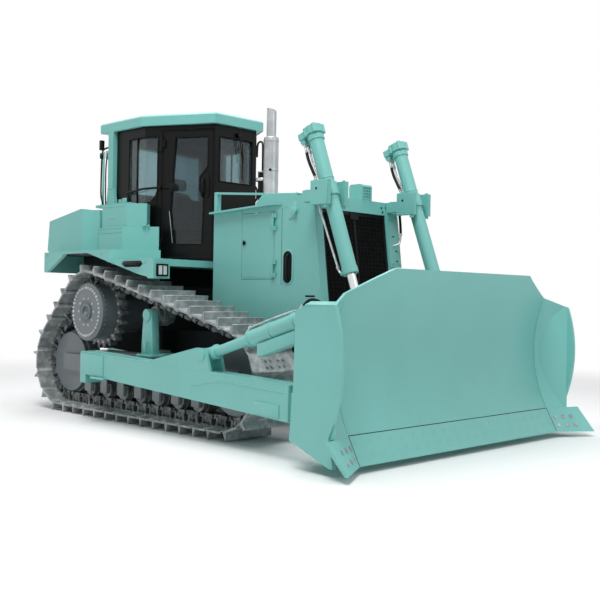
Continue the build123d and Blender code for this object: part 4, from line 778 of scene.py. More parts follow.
def makeArms():
    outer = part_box("push_arm_right")[0][1] + 0.043   # the arm's own face; its pin stands proud of it
    start, end = armSetup["cover"]
    thick, top = armSetup["thick"], armSetup["coverTop"]
    parts = []
    # bearing cap plate over the arm's rear end, and a step plate at its foot
    parts.append(plate(upright(outer, ((start, top), (end, top - 0.018), (end, 0.482), (-1.056, 0.49),
                                       (-1.056, 0.41), (start, 0.41))), (0, -thick, 0), 0.003))
    parts.append(block((-0.93, outer - 0.035, 0.455), (-0.70, outer + 0.02, 0.478), 0.005))
    # end collar, a patch plate and the arm's weld beads
    front = 1.981
    parts.append(block((front - 0.045, outer - 0.014, 0.318), (front - 0.002, outer + 0.03, 0.616), 0.006))
    parts.append(plate(upright(outer, ((1.56, 0.352), (1.86, 0.335), (1.86, 0.44), (1.56, 0.456))),
                       (0, -0.008, 0), 0.003))
    for begin, finish in (((0.70, 0.512), (1.10, 0.585)), ((1.10, 0.585), (1.93, 0.548))):
        parts.append(weldBead((begin[0], outer, begin[1]), (finish[0], outer, finish[1]), 0.005, 0.0008))
    for begin, finish in (((start, 0.725), (0.03, 0.682)), ((0.94, 0.649), (front - 0.05, 0.613))):
        for y in (outer + 0.002, outer + 0.183):
            parts.append(weldBead((begin[0], y, begin[1]), (finish[0], y, finish[1]), 0.005, 0.0008))
    paired("armPlates", parts, "mint_paint", "dozer")


braceSetup = {"low": (0.840, 0.793), "high": (2.200, 1.195), "y": 1.4075}


def bracePoint(share, out=0.0, across=0.0, side=-1):
    # a point on the brace's axis, moved up off it and sideways
    (x0, z0), (x1, z1) = braceSetup["low"], braceSetup["high"]
    length = math.hypot(x1 - x0, z1 - z0)
    dx, dz = (x1 - x0) / length, (z1 - z0) / length
    return Vector((x0 + share * (x1 - x0) - out * dz, side * (braceSetup["y"] + across),
                   z0 + share * (z1 - z0) + out * dx))


def bracePipe(places, radius):
    return pipe([bracePoint(*place) for place in places], radius)


def makeBraces():
    for side, name in ((-1, "Right"), (1, "Left")):
        parts = []
        # socket and collars along the strut
        rings = (((0.02, 0.075, 0.060), (0.075, 0.095, 0.066), (0.415, 0.43, 0.080), (0.60, 0.625, 0.079),
                  (0.80, 0.835, 0.080), (0.94, 0.955, 0.079)) if side < 0 else
                 ((0.02, 0.075, 0.062), (0.075, 0.095, 0.068), (0.28, 0.30, 0.068), (0.50, 0.515, 0.068),
                  (0.70, 0.72, 0.068), (0.90, 0.93, 0.064)))
        for begin, finish, radius in rings:
            parts.append(bar(bracePoint(begin, side=side), bracePoint(finish, side=side), radius, 32, 0.005))
        # fork caps over the lower pin
        for across in (-0.100, 0.088):
            centre = bracePoint(0, 0, across, side)
            parts.append(bar(centre, centre + Vector((0, side * 0.012, 0)), 0.052, 28, 0.004))
        joined("braceCollars" + name, parts, "mint_paint", "dozer")
        if side < 0:
            # guard box that hangs under the strut, over its hoses
            low, high = bracePoint(0.50, -0.075, -0.05, side), bracePoint(0.83, -0.075, -0.05, side)
            drop = Vector((0, 0, -0.105))
            box = plate([low, high, high + drop, low + drop * 1.05], (0, side * 0.11, 0), 0.006)
            joined("braceBox" + name, [box], "mint_paint", "dozer")
        # bolts round the cylinder's head
        spots = []
        axis = bracePoint(1, side=side) - bracePoint(0, side=side)
        for index in range(8):
            angle = 2 * math.pi * index / 8
            centre = bracePoint(0.957, 0.058 * math.sin(angle), 0.058 * math.cos(angle), side)
            spots.append((centre, axis))
        boltSet("braceBolts" + name, spots, 0.009, "bright_steel", "dozer")
    # hoses and pipe on the right strut, the tilt cylinder
    hose = [bracePipe(((0.86, 0.085, -0.02), (0.90, 0.13, -0.02), (0.96, 0.14, -0.03),
                       (0.99, 0.10, -0.05)), 0.013),
            bracePipe(((0.80, -0.085, -0.02), (0.88, -0.12, -0.02), (0.94, -0.13, -0.04),
                       (0.975, -0.09, -0.06)),
                      0.013)]
    joined("tiltHoses", hose, "hose_rubber", "dozer")
    line = [bracePipe(((0.44, 0.09, 0.02), (0.5, 0.094, 0.02), (0.8, 0.094, 0.02),
                       (0.865, 0.088, -0.01)), 0.008)]
    for start, end, radius in (((0.84, 0.07, -0.02), (0.875, 0.11, -0.02), 0.019),
                               ((0.42, 0.06, 0.02), (0.445, 0.10, 0.02), 0.017),
                               ((0.79, -0.07, -0.02), (0.815, -0.10, -0.02), 0.019)):
        line.append(bar(bracePoint(*start), bracePoint(*end), radius, 6))
    joined("tiltFittings", line, "bright_steel", "dozer")


bladeSetup = {"edgeRow": 0.28, "bitRows": ((1.50, 1.585, 1.67), (0.115, 0.19))}


def edgeSpot(y, z, out=0.0):
    # a place on the cutting edge's sloping face, out along its normal
    low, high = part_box("cutting_edge")
    lowX, lowZ, highX, highZ = high[0], low[2], 2.570, high[2]
    share = (z - lowZ) / (highZ - lowZ)
    slope = math.atan2(highZ - lowZ, lowX - highX)
    normal = Vector((math.sin(slope), 0, math.cos(slope)))
    return Vector((lowX + share * (highX - lowX), y, z)) + normal * out, normal


def makeEdgeBolts():
    # flush plow bolts in front, nuts behind
    front, behind = [], []
    head = bar((0, 0, -0.004), (0, 0, 0.0015), 0.021, 20)
    insetFaces(head, lambda normal, middle: normal.z > 0.9, 0.006, -0.0012)
    y = -1.40
    while y < 1.41:
        for z in (0.13, 0.215):
            place, normal = edgeSpot(y, z)
            front.append(moved(head, aimed(place, normal)))
            behind.append((place - normal * 0.033, -normal))
        y += bladeSetup["edgeRow"] / 2
    bpy.data.objects.remove(head)
    joined("edgeBolts", front, "mint_paint", "dozer")
    boltSet("edgeNuts", behind, 0.014, "track_steel", "dozer")


def makeBitBolts():
    # six heads on each end bit
    ys, zs = bladeSetup["bitRows"]
    parts = []
    for y in ys:
        for z in zs:
            # the bit's face between its inner and outer sections
            share = (y - 1.45) / 0.38
            footX = 2.692 + share * 0.217
            headX = 2.570 + share * 0.130
            rise = (z - 0.053) / 0.222
            place = Vector((footX + rise * (headX - footX), -y, z))
            normal = Vector((0.222, 0.0, footX - headX)).normalized()
            tilt = Vector((normal.x, 0.42, normal.z)).normalized()
            parts.append(bar(place - tilt * 0.01, place + tilt * 0.005, 0.022, 16, 0.002))
    paired("bitBolts", parts, "track_steel", "dozer")


def skinX(z, shift=(0.0, 0.0)):
    # the moldboard's front face at a height
    return 3.623 + shift[0] - math.sqrt(1.203 ** 2 - (z - 0.86 - shift[1]) ** 2)


def makeBladeWelds():
    parts = []
    for side in (-1, 1):
        # along the fold between moldboard and wing
        line = [(skinX(0.29 + 0.05 * step) + 0.001, side * 1.451, 0.29 + 0.05 * step) for step in range(21)]
        parts.append(pipe(line, 0.004, 8))
        # wing against the end plate
        wing = [(skinX(z, (0.125, -0.09)) + 0.004, side * 1.679, z)
                for z in [0.9 + 0.05 * step for step in range(8)]]
        parts.append(pipe(wing, 0.006, 8))
    # behind: ribs to the beams
    for y in (0, -0.33, 0.33, -0.96, 0.96, -1.28, 1.28):
        for way in (-1, 1):
            parts.append(weldBead((2.291, y + way * 0.014, 0.524),
                                  (2.45, y + way * 0.014, 0.524), 0.006, 0.001))
    joined("bladeWelds", parts, "mint_paint", "dozer")


makeArms()
makeBraces()
makeEdgeBolts()
makeBitBolts()
makeBladeWelds()
print("arm plates, strut collars, edge bolts and welds made")


# lift cylinders

cylinderSetup = {
    "trunnion": (1.540, -0.613, 2.290),
    "eye": (2.150, -0.613, 0.620),
    "capLobe": 0.076,
}


def cylinderPoint(along, rear=0.0, across=0.0):
    # a point on the right cylinder, up its axis from the trunnion, out to its rear and sideways
    pivot, eye = Vector(cylinderSetup["trunnion"]), Vector(cylinderSetup["eye"])
    up = (pivot - eye).normalized()
    back = Vector((-up.z, 0, up.x))
    return pivot + up * along + back * rear + Vector((0, across, 0))


def cylinderBar(start, end, radius, sides, edge=0.0):
    return bar(cylinderPoint(*start), cylinderPoint(*end), radius, sides, edge)


def cylinderPipe(places, radius):
    return pipe([cylinderPoint(*place) for place in places], radius)


def twinned(name, right, finish, body):
    # the left cylinder's copy of a piece on the right one
    gap = Matrix.Translation((0, -2 * cylinderSetup["trunnion"][1], 0))
    joined(name + "Left", [moved(right, gap)], finish, body + "_left")


def makeBarrelFittings():
    up = cylinderPoint(1) - cylinderPoint(0)
    cast, steel, capBolts = [], [], []
    # cast head: ring, port block and its boss, then the barrel's collars
    cast.append(cylinderBar((0.562,), (0.574,), 0.086, 36, 0.004))
    portBlock = ((0.590, 0.104), (0.600, 0.1625), (0.545, 0.1625), (0.512, 0.148), (0.512, 0.104))
    cast.append(plate([cylinderPoint(along, rear, -0.044) for along, rear in portBlock],
                      (0, 0.088, 0), 0.010, 3))
    cast.append(cylinderBar((0.575, 0.158), (0.575, 0.170), 0.020, 20, 0.003))
    for start, end, radius in ((0.52, 0.545, 0.078), (0.105, 0.12, 0.0715), (-0.10, -0.085, 0.0715)):
        cast.append(cylinderBar((start,), (end,), radius, 36, 0.004))
    for index in range(4):
        angle = math.radians(45 + 90 * index)
        reach = cylinderSetup["capLobe"] * 1.02
        capBolts.append((cylinderPoint(0.6385, reach * math.sin(angle), reach * math.cos(angle)), up))
    # a hose and a pipe from the head's ports down into the yoke
    for across in (-0.026, 0.024):
        for start, end, radius, sides in ((0.515, 0.49, 0.0165, 6), (0.495, 0.438, 0.0125, 16),
                                          (0.452, 0.436, 0.0165, 6)):
            steel.append(cylinderBar((start, 0.128, across), (end, 0.128, across), radius, sides))
    rubber = [cylinderPipe(((0.442, 0.128, -0.026), (0.37, 0.132, -0.028), (0.26, 0.112, -0.030),
                            (0.19, 0.097, -0.032), (0.165, 0.094, -0.032)), 0.0145)]
    steel.append(cylinderBar((0.175, 0.095, -0.032), (0.09, 0.088, -0.034), 0.0125, 16))
    steel.append(cylinderBar((0.182, 0.096, -0.032), (0.166, 0.0945, -0.032), 0.0165, 6))
    steel.append(cylinderPipe(((0.442, 0.128, 0.024), (0.36, 0.130, 0.022), (0.25, 0.104, 0.014),
                               (0.16, 0.090, 0.010), (0.09, 0.089, 0.010)), 0.010))
    # pipe down the right barrel's rear to the port at its gland
    long = [cylinderPipe(((-0.02, 0.118, -0.055), (-0.12, 0.116, -0.055), (-0.60, 0.098, -0.045),
                          (-0.70, 0.094, -0.040), (-0.765, 0.092, -0.036), (-0.778, 0.065, -0.030)), 0.0105),
            cylinderBar((-0.700, 0.094, -0.040), (-0.722, 0.0935, -0.039), 0.0165, 6),
            cylinderBar((-0.150, 0.115, -0.054), (-0.172, 0.1145, -0.054), 0.0165, 6)]
    joined("glandPipeRight", long, "bright_steel", "barrel_right")
    cast.append(cylinderBar((-0.778, 0.055, -0.026), (-0.778, 0.082, -0.036), 0.020, 18, 0.003))
    for name, parts, finish in (("barrelCast", cast, "mint_paint"), ("barrelFittings", steel, "bright_steel"),
                                ("barrelHoses", rubber, "hose_rubber")):
        twinned(name, joined(name + "Right", parts, finish, "barrel_right"), finish, "barrel")
    bolts = boltSet("capBoltsRight", capBolts, 0.0125, "mint_paint", "barrel_right")
    twinned("capBolts", bolts, "mint_paint", "barrel")


def makeGlandBolts():
    # bolts where the rod leaves the barrel, and the eye's grease collars
    spots = []
    down = cylinderPoint(-1) - cylinderPoint(0)
    for index in range(8):
        angle = 2 * math.pi * (index + 0.5) / 8
        spots.append((cylinderPoint(-0.8045, 0.056 * math.sin(angle), 0.056 * math.cos(angle)), down))
    bolts = boltSet("glandBoltsRight", spots, 0.0065, "bright_steel", "barrel_right")
    twinned("glandBolts", bolts, "bright_steel", "barrel")
    eye = Vector(cylinderSetup["eye"])
    collars = []
    for side in (-1, 1):
        face = eye + Vector((0, side * 0.048, 0))
        collars.append(bar(face, face + Vector((0, side * 0.004, 0)), 0.050, 28, 0.001))
    twinned("rodCollars", joined("rodCollarsRight", collars, "track_steel", "rod_right"),
            "track_steel", "rod")


yokeSetup = {"cheeks": (0.092, 0.137), "rise": (-0.135, 0.085)}


def makeYokeDetails():
    # bearing caps, their long bolts and the weld where the carrier meets the guard, and a near-black dot of
    # painted shade for each cheek's pin hole
    x, y, z = cylinderSetup["trunnion"]
    inner, outer = yokeSetup["cheeks"]
    low, high = yokeSetup["rise"]
    cast, bolts, dark = [], [], []
    for side in (-1, 1):
        face = y + side * outer
        cast.append(block((x - 0.104, min(face, face + side * 0.005), z + low + 0.001),
                          (x + 0.104, max(face, face + side * 0.005), z + high - 0.001), 0.002, 1))
        # near-black disc on the cheek: painted shade for its small pin hole
        dark.append(bar((x - 0.030, face + side * 0.004, z + 0.010),
                        (x - 0.030, face + side * 0.006, z + 0.010),
                        0.012, 18))
        middle = y + side * (inner + outer) / 2
        for ahead in (-0.070, 0.070):
            bolts.append(((x + ahead, middle, z + high), (0, 0, 1)))
    cast.append(block((1.335, y - outer + 0.004, 2.286), (1.412, y + outer - 0.004, 2.298), 0.005))
    cast.append(weldBead((1.335, y - outer + 0.01, 2.191), (1.335, y + 0.045, 2.191), 0.006, 0.001))
    cast.append(weldBead((1.331, y - outer + 0.01, 2.285), (1.331, y + 0.05, 2.285), 0.006, 0.001))
    paired("yokeCaps", cast, "mint_paint")
    pairedBolts("yokeBolts", bolts, 0.015, "mint_paint")
    paired("yokeHoleShade", dark, "edge_seal")


makeBarrelFittings()
makeGlandBolts()
makeYokeDetails()
print("cylinder heads, hoses, pipes and yokes dressed")


# radiator guard and grille

guardSetup = {
    "foot": (1.452, 0.940), "lean": 7.1,
    "mesh": (44, 58, 0.0022),       # upright and level wires, wire radius
    "holes": ((-0.475, 2.235), (-0.405, 2.232), (-0.420, 2.190)),
    "bracketBolts": ((0.575, 1.80), (0.575, 1.70), (0.545, 1.95)),
}


def guardFace(z, out=0.0):
    # x of the guard's leaning front
    footX, footZ = guardSetup["foot"]
    return footX - (z - footZ) * math.tan(math.radians(guardSetup["lean"])) + out


def makeYokeHose():
    # short hose and elbow from the left yoke down to the guard
    joined("yokeHose", [pipe([(1.396, 0.566, 2.205), (1.402, 0.586, 2.05), (1.402, 0.588, 1.966)], 0.0135)],
           "hose_rubber")
    joined("yokeElbow", [bar((1.402, 0.588, 1.985), (1.402, 0.588, 1.960), 0.0165, 6),
                         pipe([(1.402, 0.588, 1.970), (1.401, 0.584, 1.90), (1.394, 0.556, 1.862),
                               (guardFace(1.855, 0.0) - 0.02, 0.520, 1.855)], 0.0115)], "bright_steel")


def makeGrilleMesh():
    low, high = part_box("grille")
    uprights, levels, wire = guardSetup["mesh"]
    y0, y1 = low[1] + 0.03, high[1] - 0.03
    z0, z1 = low[2] + 0.03, high[2] - 0.03
    parts = []
    for index in range(uprights):
        y = y0 + (y1 - y0) * (index + 0.5) / uprights
        parts.append(bar((guardFace(z0, -0.0115), y, z0), (guardFace(z1, -0.0115), y, z1), wire, 4))
    for index in range(levels):
        z = z0 + (z1 - z0) * (index + 0.5) / levels
        x = guardFace(z, -0.0095)
        parts.append(bar((x, y0, z), (x, y1, z), wire, 4))
    joined("grilleMesh", parts, "edge_seal")
    # dark shroud from the mesh back to the radiator
    shroud = []
    near, far = -0.046, -0.258
    for side in (-1, 1):
        y = side * (high[1] - 0.001)
        corners = ((z0 - 0.03, near), (z1 + 0.03, near), (z1 + 0.03, far), (z0 - 0.03, far))
        shroud.append(plate([(guardFace(z, out), y, z) for z, out in corners], (0, -side * 0.004, 0)))
    for z in (z0 - 0.028, z1 + 0.026):
        shroud.append(block((guardFace(z, far), low[1] + 0.004, z - 0.002),
                            (guardFace(z, near), high[1] - 0.004, z + 0.002)))
    joined("grilleShroud", shroud, "edge_seal")
    # centre bar and the frame's lip
    corners = ((z0, -0.008), (z1, -0.008), (z1, -0.02), (z0, -0.02))
    barParts = [plate([(guardFace(z, out), -0.012, z) for z, out in corners], (0, 0.024, 0), 0.002, 1)]
    corners = ((0.02, -0.006, 0.022), (-0.05, -0.006, -0.045), (-0.05, -0.02, -0.045), (0.02, -0.02, 0.022))
    barParts.append(plate([(guardFace(z1 + at, out), -0.06, z1 + level) for at, out, level in corners],
                          (0, 0.12, 0), 0.002, 1))
    joined("grilleBar", barParts, "cab_black")


def makeGuardDetails():
    lean = math.radians(guardSetup["lean"])
    normal = Vector((math.cos(lean), 0, math.sin(lean)))
    rings, dark = [], []
    for hole, z in guardSetup["holes"]:
        for y in (hole, -hole):
            centre = Vector((guardFace(z), y, z))
            rings.append(bar(centre - normal * 0.004, centre + normal * 0.003, 0.019, 20, 0.002))
            # a near-black disc inside each boss, painted shade for its hole
            dark.append(bar(centre, centre + normal * 0.0036, 0.012, 16))
    # seam between lintel and columns, weld along the column's inner edge
    for side in (-1, 1):
        for out, low, high, radius in ((0.462, 2.158, 2.286, 0.0035), (0.558, 1.07, 2.19, 0.004)):
            rings.append(weldBead((guardFace(low, 0.001), side * out, low),
                                  (guardFace(high, 0.001), side * out, high), radius, 0.0006))
    joined("guardBosses", rings, "mint_paint")
    joined("guardHoleShade", dark, "edge_seal")
    spots, slots = [], []
    # near-black patches painted as the shade inside the brackets' slots
    for y, z in guardSetup["bracketBolts"][:2]:
        slots.append(bar((guardFace(z, 0.012), y, z), (guardFace(z, 0.0145), y, z), 0.013, 18))
    y, z = guardSetup["bracketBolts"][2]
    slots.append(block((guardFace(z, 0.010), y - 0.022, z - 0.007),
                       (guardFace(z, 0.0148), y + 0.022, z + 0.007),
                       0.003, 1))
    joined("bracketSlotShade", slots, "edge_seal")
    for y in (0.505, 0.605):
        for z in (1.68, 2.14):
            spots.append(((guardFace(z, 0.0138), y, z), normal))
    boltSet("bracketBolts", spots, 0.012, "mint_paint")
    # boss, pressed stiffener and slot on each side of the guard; the slot is a near-black strip of painted
    # shade
    stiffener = upright(-0.5495, ((0.955, 2.06), (1.10, 2.10), (1.165, 2.17), (1.165, 2.23), (1.02, 2.23),
                                  (0.955, 2.13)))
    sides = [bar((1.052, -0.545, 2.139), (1.052, -0.592, 2.139), 0.036, 28, 0.006),
             plate(stiffener, (0, -0.006, 0), 0.004)]
    paired("guardEyes", sides, "mint_paint")
    # near-black strip: painted shade for the slot
    slot = [block((1.20, -0.5608, 1.325), (1.325, -0.5585, 1.343), 0.004, 1)]
    paired("guardSlotShade", slot, "edge_seal")


def makeLampBoxLamp():
    # small lamp on the lamp box's left wall, the rim of its front, and bolts at its foot
    low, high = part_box("lamp_box")
    parts = [block((high[0] - 0.11, high[1] - 0.001, low[2] + 0.05),
                   (high[0] - 0.04, high[1] + 0.022, low[2] + 0.12),
                   0.008)]
    joined("boxSideLamp", parts, "cab_black")
    rim = [block((high[0] - 0.02, low[1] + 0.012, z), (high[0] + 0.003, high[1] - 0.012, z + 0.006))
           for z in (high[2] - 0.034, low[2] + 0.012)]
    joined("boxRim", rim, "mint_paint")
    boltSet("boxBolts", [((x, y, low[2] + 0.004), (0, 0, 1)) for x in (low[0] - 0.012, high[0] + 0.012)
                         for y in (low[1] + 0.03, high[1] - 0.03)], 0.008, "mint_paint")


makeGrilleMesh()
makeYokeHose()
makeGuardDetails()
makeLampBoxLamp()
print("grille mesh and guard details made")


# engine sides, hood and stack

sideSetup = {"seam": 0.0018, "panelX": 0.860, "handle": (0.949, 1.610, 0.065, 0.160)}


def seamLine(points, width, y):
    # a thin shadow gap drawn along a panel's joint
    parts = []
    for (x0, z0), (x1, z1) in zip(points, points[1:]):
        along = Vector((x1 - x0, 0, z1 - z0)).normalized()
        aside = Vector((-along.z, 0, along.x)) * width
        a, b = Vector((x0, y, z0)), Vector((x1, y, z1))
        parts.append(plate([a - aside, b - aside, b + aside, a + aside], (0, 0.0012, 0)))
    return parts


def makeEngineSides():
    face = -0.5512
    width = sideSetup["seam"]
    x = sideSetup["panelX"]
    seams = seamLine([(x, 1.44), (x, 2.18)], width, face)
    seams += seamLine([(0.2755, 2.155), (0.2755, 2.19)], width, face)
    paired("sideSeams", seams, "edge_seal")
    # long oval grip in its pressed surround, with a near-black oval of painted shade in its well
    cx, cz, half, tall = sideSetup["handle"]

    def oval(radius, y):
        points = []
        for index in range(28):
            angle = 2 * math.pi * index / 28
            lift = tall - half if math.sin(angle) >= 0 else half - tall
            points.append((cx + radius * math.cos(angle), y, cz + lift + radius * math.sin(angle)))
        return points

    ring = plate(oval(half + 0.014, -0.5495), (0, -0.0055, 0), 0.004)
    # near-black oval in the surround: painted shade for the recess behind the grip
    dark = plate(oval(half - 0.006, -0.5535), (0, -0.0024, 0))
    grip = pipe([(cx + 0.012, -0.552, cz - tall + 0.035), (cx + 0.012, -0.578, cz - tall + 0.05),
                 (cx + 0.012, -0.582, cz), (cx + 0.012, -0.578, cz + tall - 0.05),
                 (cx + 0.012, -0.552, cz + tall - 0.035)], 0.010)
    for name, parts, finish in (("gripRing", [ring], "mint_paint"), ("gripWellShade", [dark], "edge_seal"),
                                ("gripBar", [grip], "cab_black")):
        paired(name, parts, finish)
    # screws in the side panels
    spots = [((sx, -0.5502, 1.00), (0, -1, 0)) for sx in (-0.12, 0.22, 0.57, 0.91, 1.10)]
    spots += [((1.02, -0.5502, 2.20), (0, -1, 0)), ((0.91, -0.5502, 2.19), (0, -1, 0))]
    pairedBolts("sideBolts", spots, 0.007, "mint_paint")
    # latch and pressings of the engine door
    latch = [bar((0.318, -0.549, 1.86), (0.318, -0.563, 1.86), 0.020, 24, 0.003),
             block((0.312, -0.571, 1.835), (0.324, -0.561, 1.885), 0.003, 1)]
    paired("doorLatch", latch, "cab_black", "engine_door_right")
    rim = [block((0.300, -0.5522, z), (0.730, -0.5495, top), 0.001, 1)
           for z, top in ((1.520, 1.526), (2.124, 2.130))]
    paired("doorPressing", rim, "mint_paint", "engine_door_right")


def makeHoodDetails():
    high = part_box("hood")[1]
    parts = [weldBead((0.60, 0, high[2] + 0.001), (high[0] - 0.02, 0, 2.3165), 0.003)]
    lid = block((0.70, -0.16, 2.318), (0.93, 0.16, 2.333), 0.006)
    parts.append(insetFaces(lid, lambda normal, middle: normal.z > 0.9, 0.02, -0.004))
    joined("hoodLid", parts, "mint_paint")
    spots = [((x, y, 2.343 - (x - 0.595) * 0.061), (0, 0, 1)) for x in (0.64, 1.02) for y in
             (-0.52, -0.27, 0.0, 0.27, 0.52)]
    boltSet("hoodBolts", spots, 0.008, "mint_paint")
    cap = bar((0.815, 0, 2.330), (0.815, 0, 2.352), 0.05, 24, 0.004)
    joined("coolantCap", [cap], "cab_black")


stackSetup = {"x": 0.300, "y": -0.190, "body": 0.078}


def makeStackDetails():
    x, y = stackSetup["x"], stackSetup["y"]
    body = stackSetup["body"]
    bands = [bar((x, y, z), (x, y, z + 0.022), body + 0.0025, 40, 0.002) for z in (2.33, 2.62, 2.925)]
    bands.append(bar((x, y, 2.954), (x, y, 2.975), body - 0.006, 36, 0.006, foot=body))
    joined("stackBands", bands, "stack_steel")
    spots = [((x + 0.055, y - 0.060, 2.34 + 0.29 * step), (0.7, -0.75, 0)) for step in range(2)]
    boltSet("stackBolts", spots, 0.012, "cab_black")
    ix, iy, iz = 0.130, -0.150, 2.640
    bowl = [bar((ix, iy, iz - 0.105), (ix, iy, iz - 0.07), 0.071, 32, 0.004),
            bar((ix, iy, iz - 0.012), (ix, iy, iz - 0.001), 0.051, 28, 0.003)]
    joined("intakeBands", bowl, "bright_steel")
    loop = pipe([(ix, iy, iz - 0.02), (ix, iy, 2.86), (ix - 0.004, iy, 2.95), (ix - 0.045, iy, 2.962),
                 (ix - 0.085, iy, 2.945), (ix - 0.090, iy, 2.86), (ix - 0.092, iy, 2.80)], 0.011)
    joined("intakeBend", [loop], "cab_black")


makeEngineSides()
makeHoodDetails()
makeStackDetails()
print("engine sides, hood and stack dressed")


# cab

cabSetup = {
    "bend": (-1.210, 0.705), "front": (-0.475, 0.295), "rear": (-1.730, 0.725),
    "doorStart": 0.25,          # share of the slanted wall where the door begins
    "doorEdge": (0.012, 0.634 - 0.012, 1.742, 3.138),
    "sideWindow": (2.327, 3.084, -1.505, 0.19),
    "frontWindow": (2.578, 3.070, 0.238),
    "rearWindow": (2.500, 3.060, 0.475),
    "doorWindow": ((0.150, 1.888), (0.105, 2.265), (0.158, 3.065), (0.545, 3.065),
                   (0.545, 2.740), (0.452, 2.623),
                   (0.452, 2.481), (0.502, 2.388), (0.488, 1.888)),
}


def wallPlace(share, out=0.0, z=0.0):
    # a place on the right slanted wall, a distance outside it
    (bx, by), (fx, fy) = cabSetup["bend"], cabSetup["front"]
    length = math.hypot(fx - bx, fy - by)
    along = ((fx - bx) / length, (by - fy) / length)
    x = bx + share * (fx - bx) + out * along[1]
    y = -(by + share * (fy - by)) - out * along[0]
    return Vector((x, y, z))


def doorPlace(along, z, out=0.0):
    # a place on the right door, from its hinge edge
    (bx, by), (fx, fy) = cabSetup["bend"], cabSetup["front"]
    share = cabSetup["doorStart"] + along / math.hypot(fx - bx, fy - by)
    return wallPlace(share, out, z)


def doorPath(places):
    return [doorPlace(*place) for place in places]


def makeDoorTrim():
    near, far, foot, head = cabSetup["doorEdge"]
    seal = pipe([doorPlace(along, z, 0.002) for along, z in cabSetup["doorWindow"]], 0.007, 8, 2, True)
    edge = pipe(doorPath(((near, foot), (far, foot), (far, head), (near, head))), 0.006, 8, 2, True)
    paired("doorSeal", [seal, edge], "edge_seal", "cab_door_right")
    strip = [pipe(doorPath(((0.141, 1.905, 0.003), (0.118, 2.09, 0.004), (0.0975, 2.255, 0.003))), 0.0045, 8)]
    paired("doorStrip", strip, "bright_steel", "cab_door_right")
    lock = [plate(doorPath(((0.470, 2.400), (0.560, 2.400), (0.572, 2.46), (0.572, 2.60), (0.545, 2.66),
                            (0.480, 2.60))), doorPlace(0, 0, 0.014) - doorPlace(0, 0, 0), 0.005),
            pipe(doorPath(((0.50, 2.41, 0.012), (0.50, 2.425, 0.045), (0.50, 2.50, 0.050),
                           (0.50, 2.585, 0.045),
                           (0.50, 2.60, 0.012))), 0.011),
            bar(doorPlace(0.545, 2.50, 0.012), doorPlace(0.545, 2.50, 0.026), 0.016, 20, 0.003)]
    paired("doorHandle", lock, "cab_black", "cab_door_right")
    knob = [bar(doorPlace(0.135, 2.515, -0.006), doorPlace(0.135, 2.515, 0.018), 0.050, 32, 0.006),
            bar(doorPlace(0.135, 2.515, 0.016), doorPlace(0.135, 2.515, 0.034), 0.026, 24, 0.006),
            bar(doorPlace(0.03, 2.512, 0.010), doorPlace(0.13, 2.515, 0.012), 0.013, 16)]
    paired("doorKnob", knob, "cab_black", "cab_door_right")


def makeWindowTrim():
    low, high, rearX, share = cabSetup["sideWindow"]
    by = -cabSetup["bend"][1] - 0.0015
    corner, end = (cabSetup["bend"][0], by), wallPlace(share, 0.002)
    loop = [(rearX, by, low), (*corner, low), (end.x, end.y, low), (end.x, end.y, high), (*corner, high),
            (rearX, by, high)]
    parts = [pipe(loop, 0.009, 8, 2, True)]
    filler = [wallPlace(0.19, 0.0, low), wallPlace(0.19, 0.0, 2.52), wallPlace(0.155, 0.0, 2.43),
              wallPlace(0.09, 0.0, 2.365), wallPlace(0.01, 0.0, 2.345), wallPlace(0.0, 0.0, low)]
    parts.append(plate(filler, wallPlace(0, -0.022) - wallPlace(0), 0.0))
    paired("sideSeal", parts, "edge_seal")
    # sliding pane's divider in each side window
    slide = [block((-1.372, by + 0.004, low), (-1.358, by + 0.028, high), 0.002, 1)]
    paired("slideBar", slide, "cab_black")
    loops = []
    for window, x in (("frontWindow", cabSetup["front"][0] + 0.0015),
                      ("rearWindow", cabSetup["rear"][0] - 0.0015)):
        low, high, half = cabSetup[window]
        loops.append(pipe([(x, -half, low), (x, half, low), (x, half, high), (x, -half, high)],
                          0.009, 8, 2, True))
    joined("endSeals", loops, "edge_seal")


def makeWipers():
    x = cabSetup["front"][0]
    parts = [bar((x - 0.001, 0.02, 3.115), (x + 0.035, 0.02, 3.115), 0.026, 20, 0.004),
             pipe([(x + 0.028, 0.015, 3.115), (x + 0.034, 0.040, 2.98), (x + 0.024, 0.072, 2.82)], 0.006),
             pipe([(x + 0.028, 0.045, 3.112), (x + 0.034, 0.066, 2.98), (x + 0.024, 0.084, 2.82)], 0.005),
             block((x + 0.006, 0.076, 2.63), (x + 0.022, 0.086, 3.01), 0.003, 1)]
    joined("frontWiper", parts, "cab_black")
    x = cabSetup["rear"][0]
    parts = [bar((x + 0.001, 0.0, 3.10), (x - 0.030, 0.0, 3.10), 0.024, 20, 0.004),
             pipe([(x - 0.026, 0.0, 3.10), (x - 0.030, -0.05, 2.95), (x - 0.022, -0.09, 2.80)], 0.006),
             block((x - 0.020, -0.095, 2.60), (x - 0.006, -0.085, 3.00), 0.003, 1)]
    joined("rearWiper", parts, "cab_black")


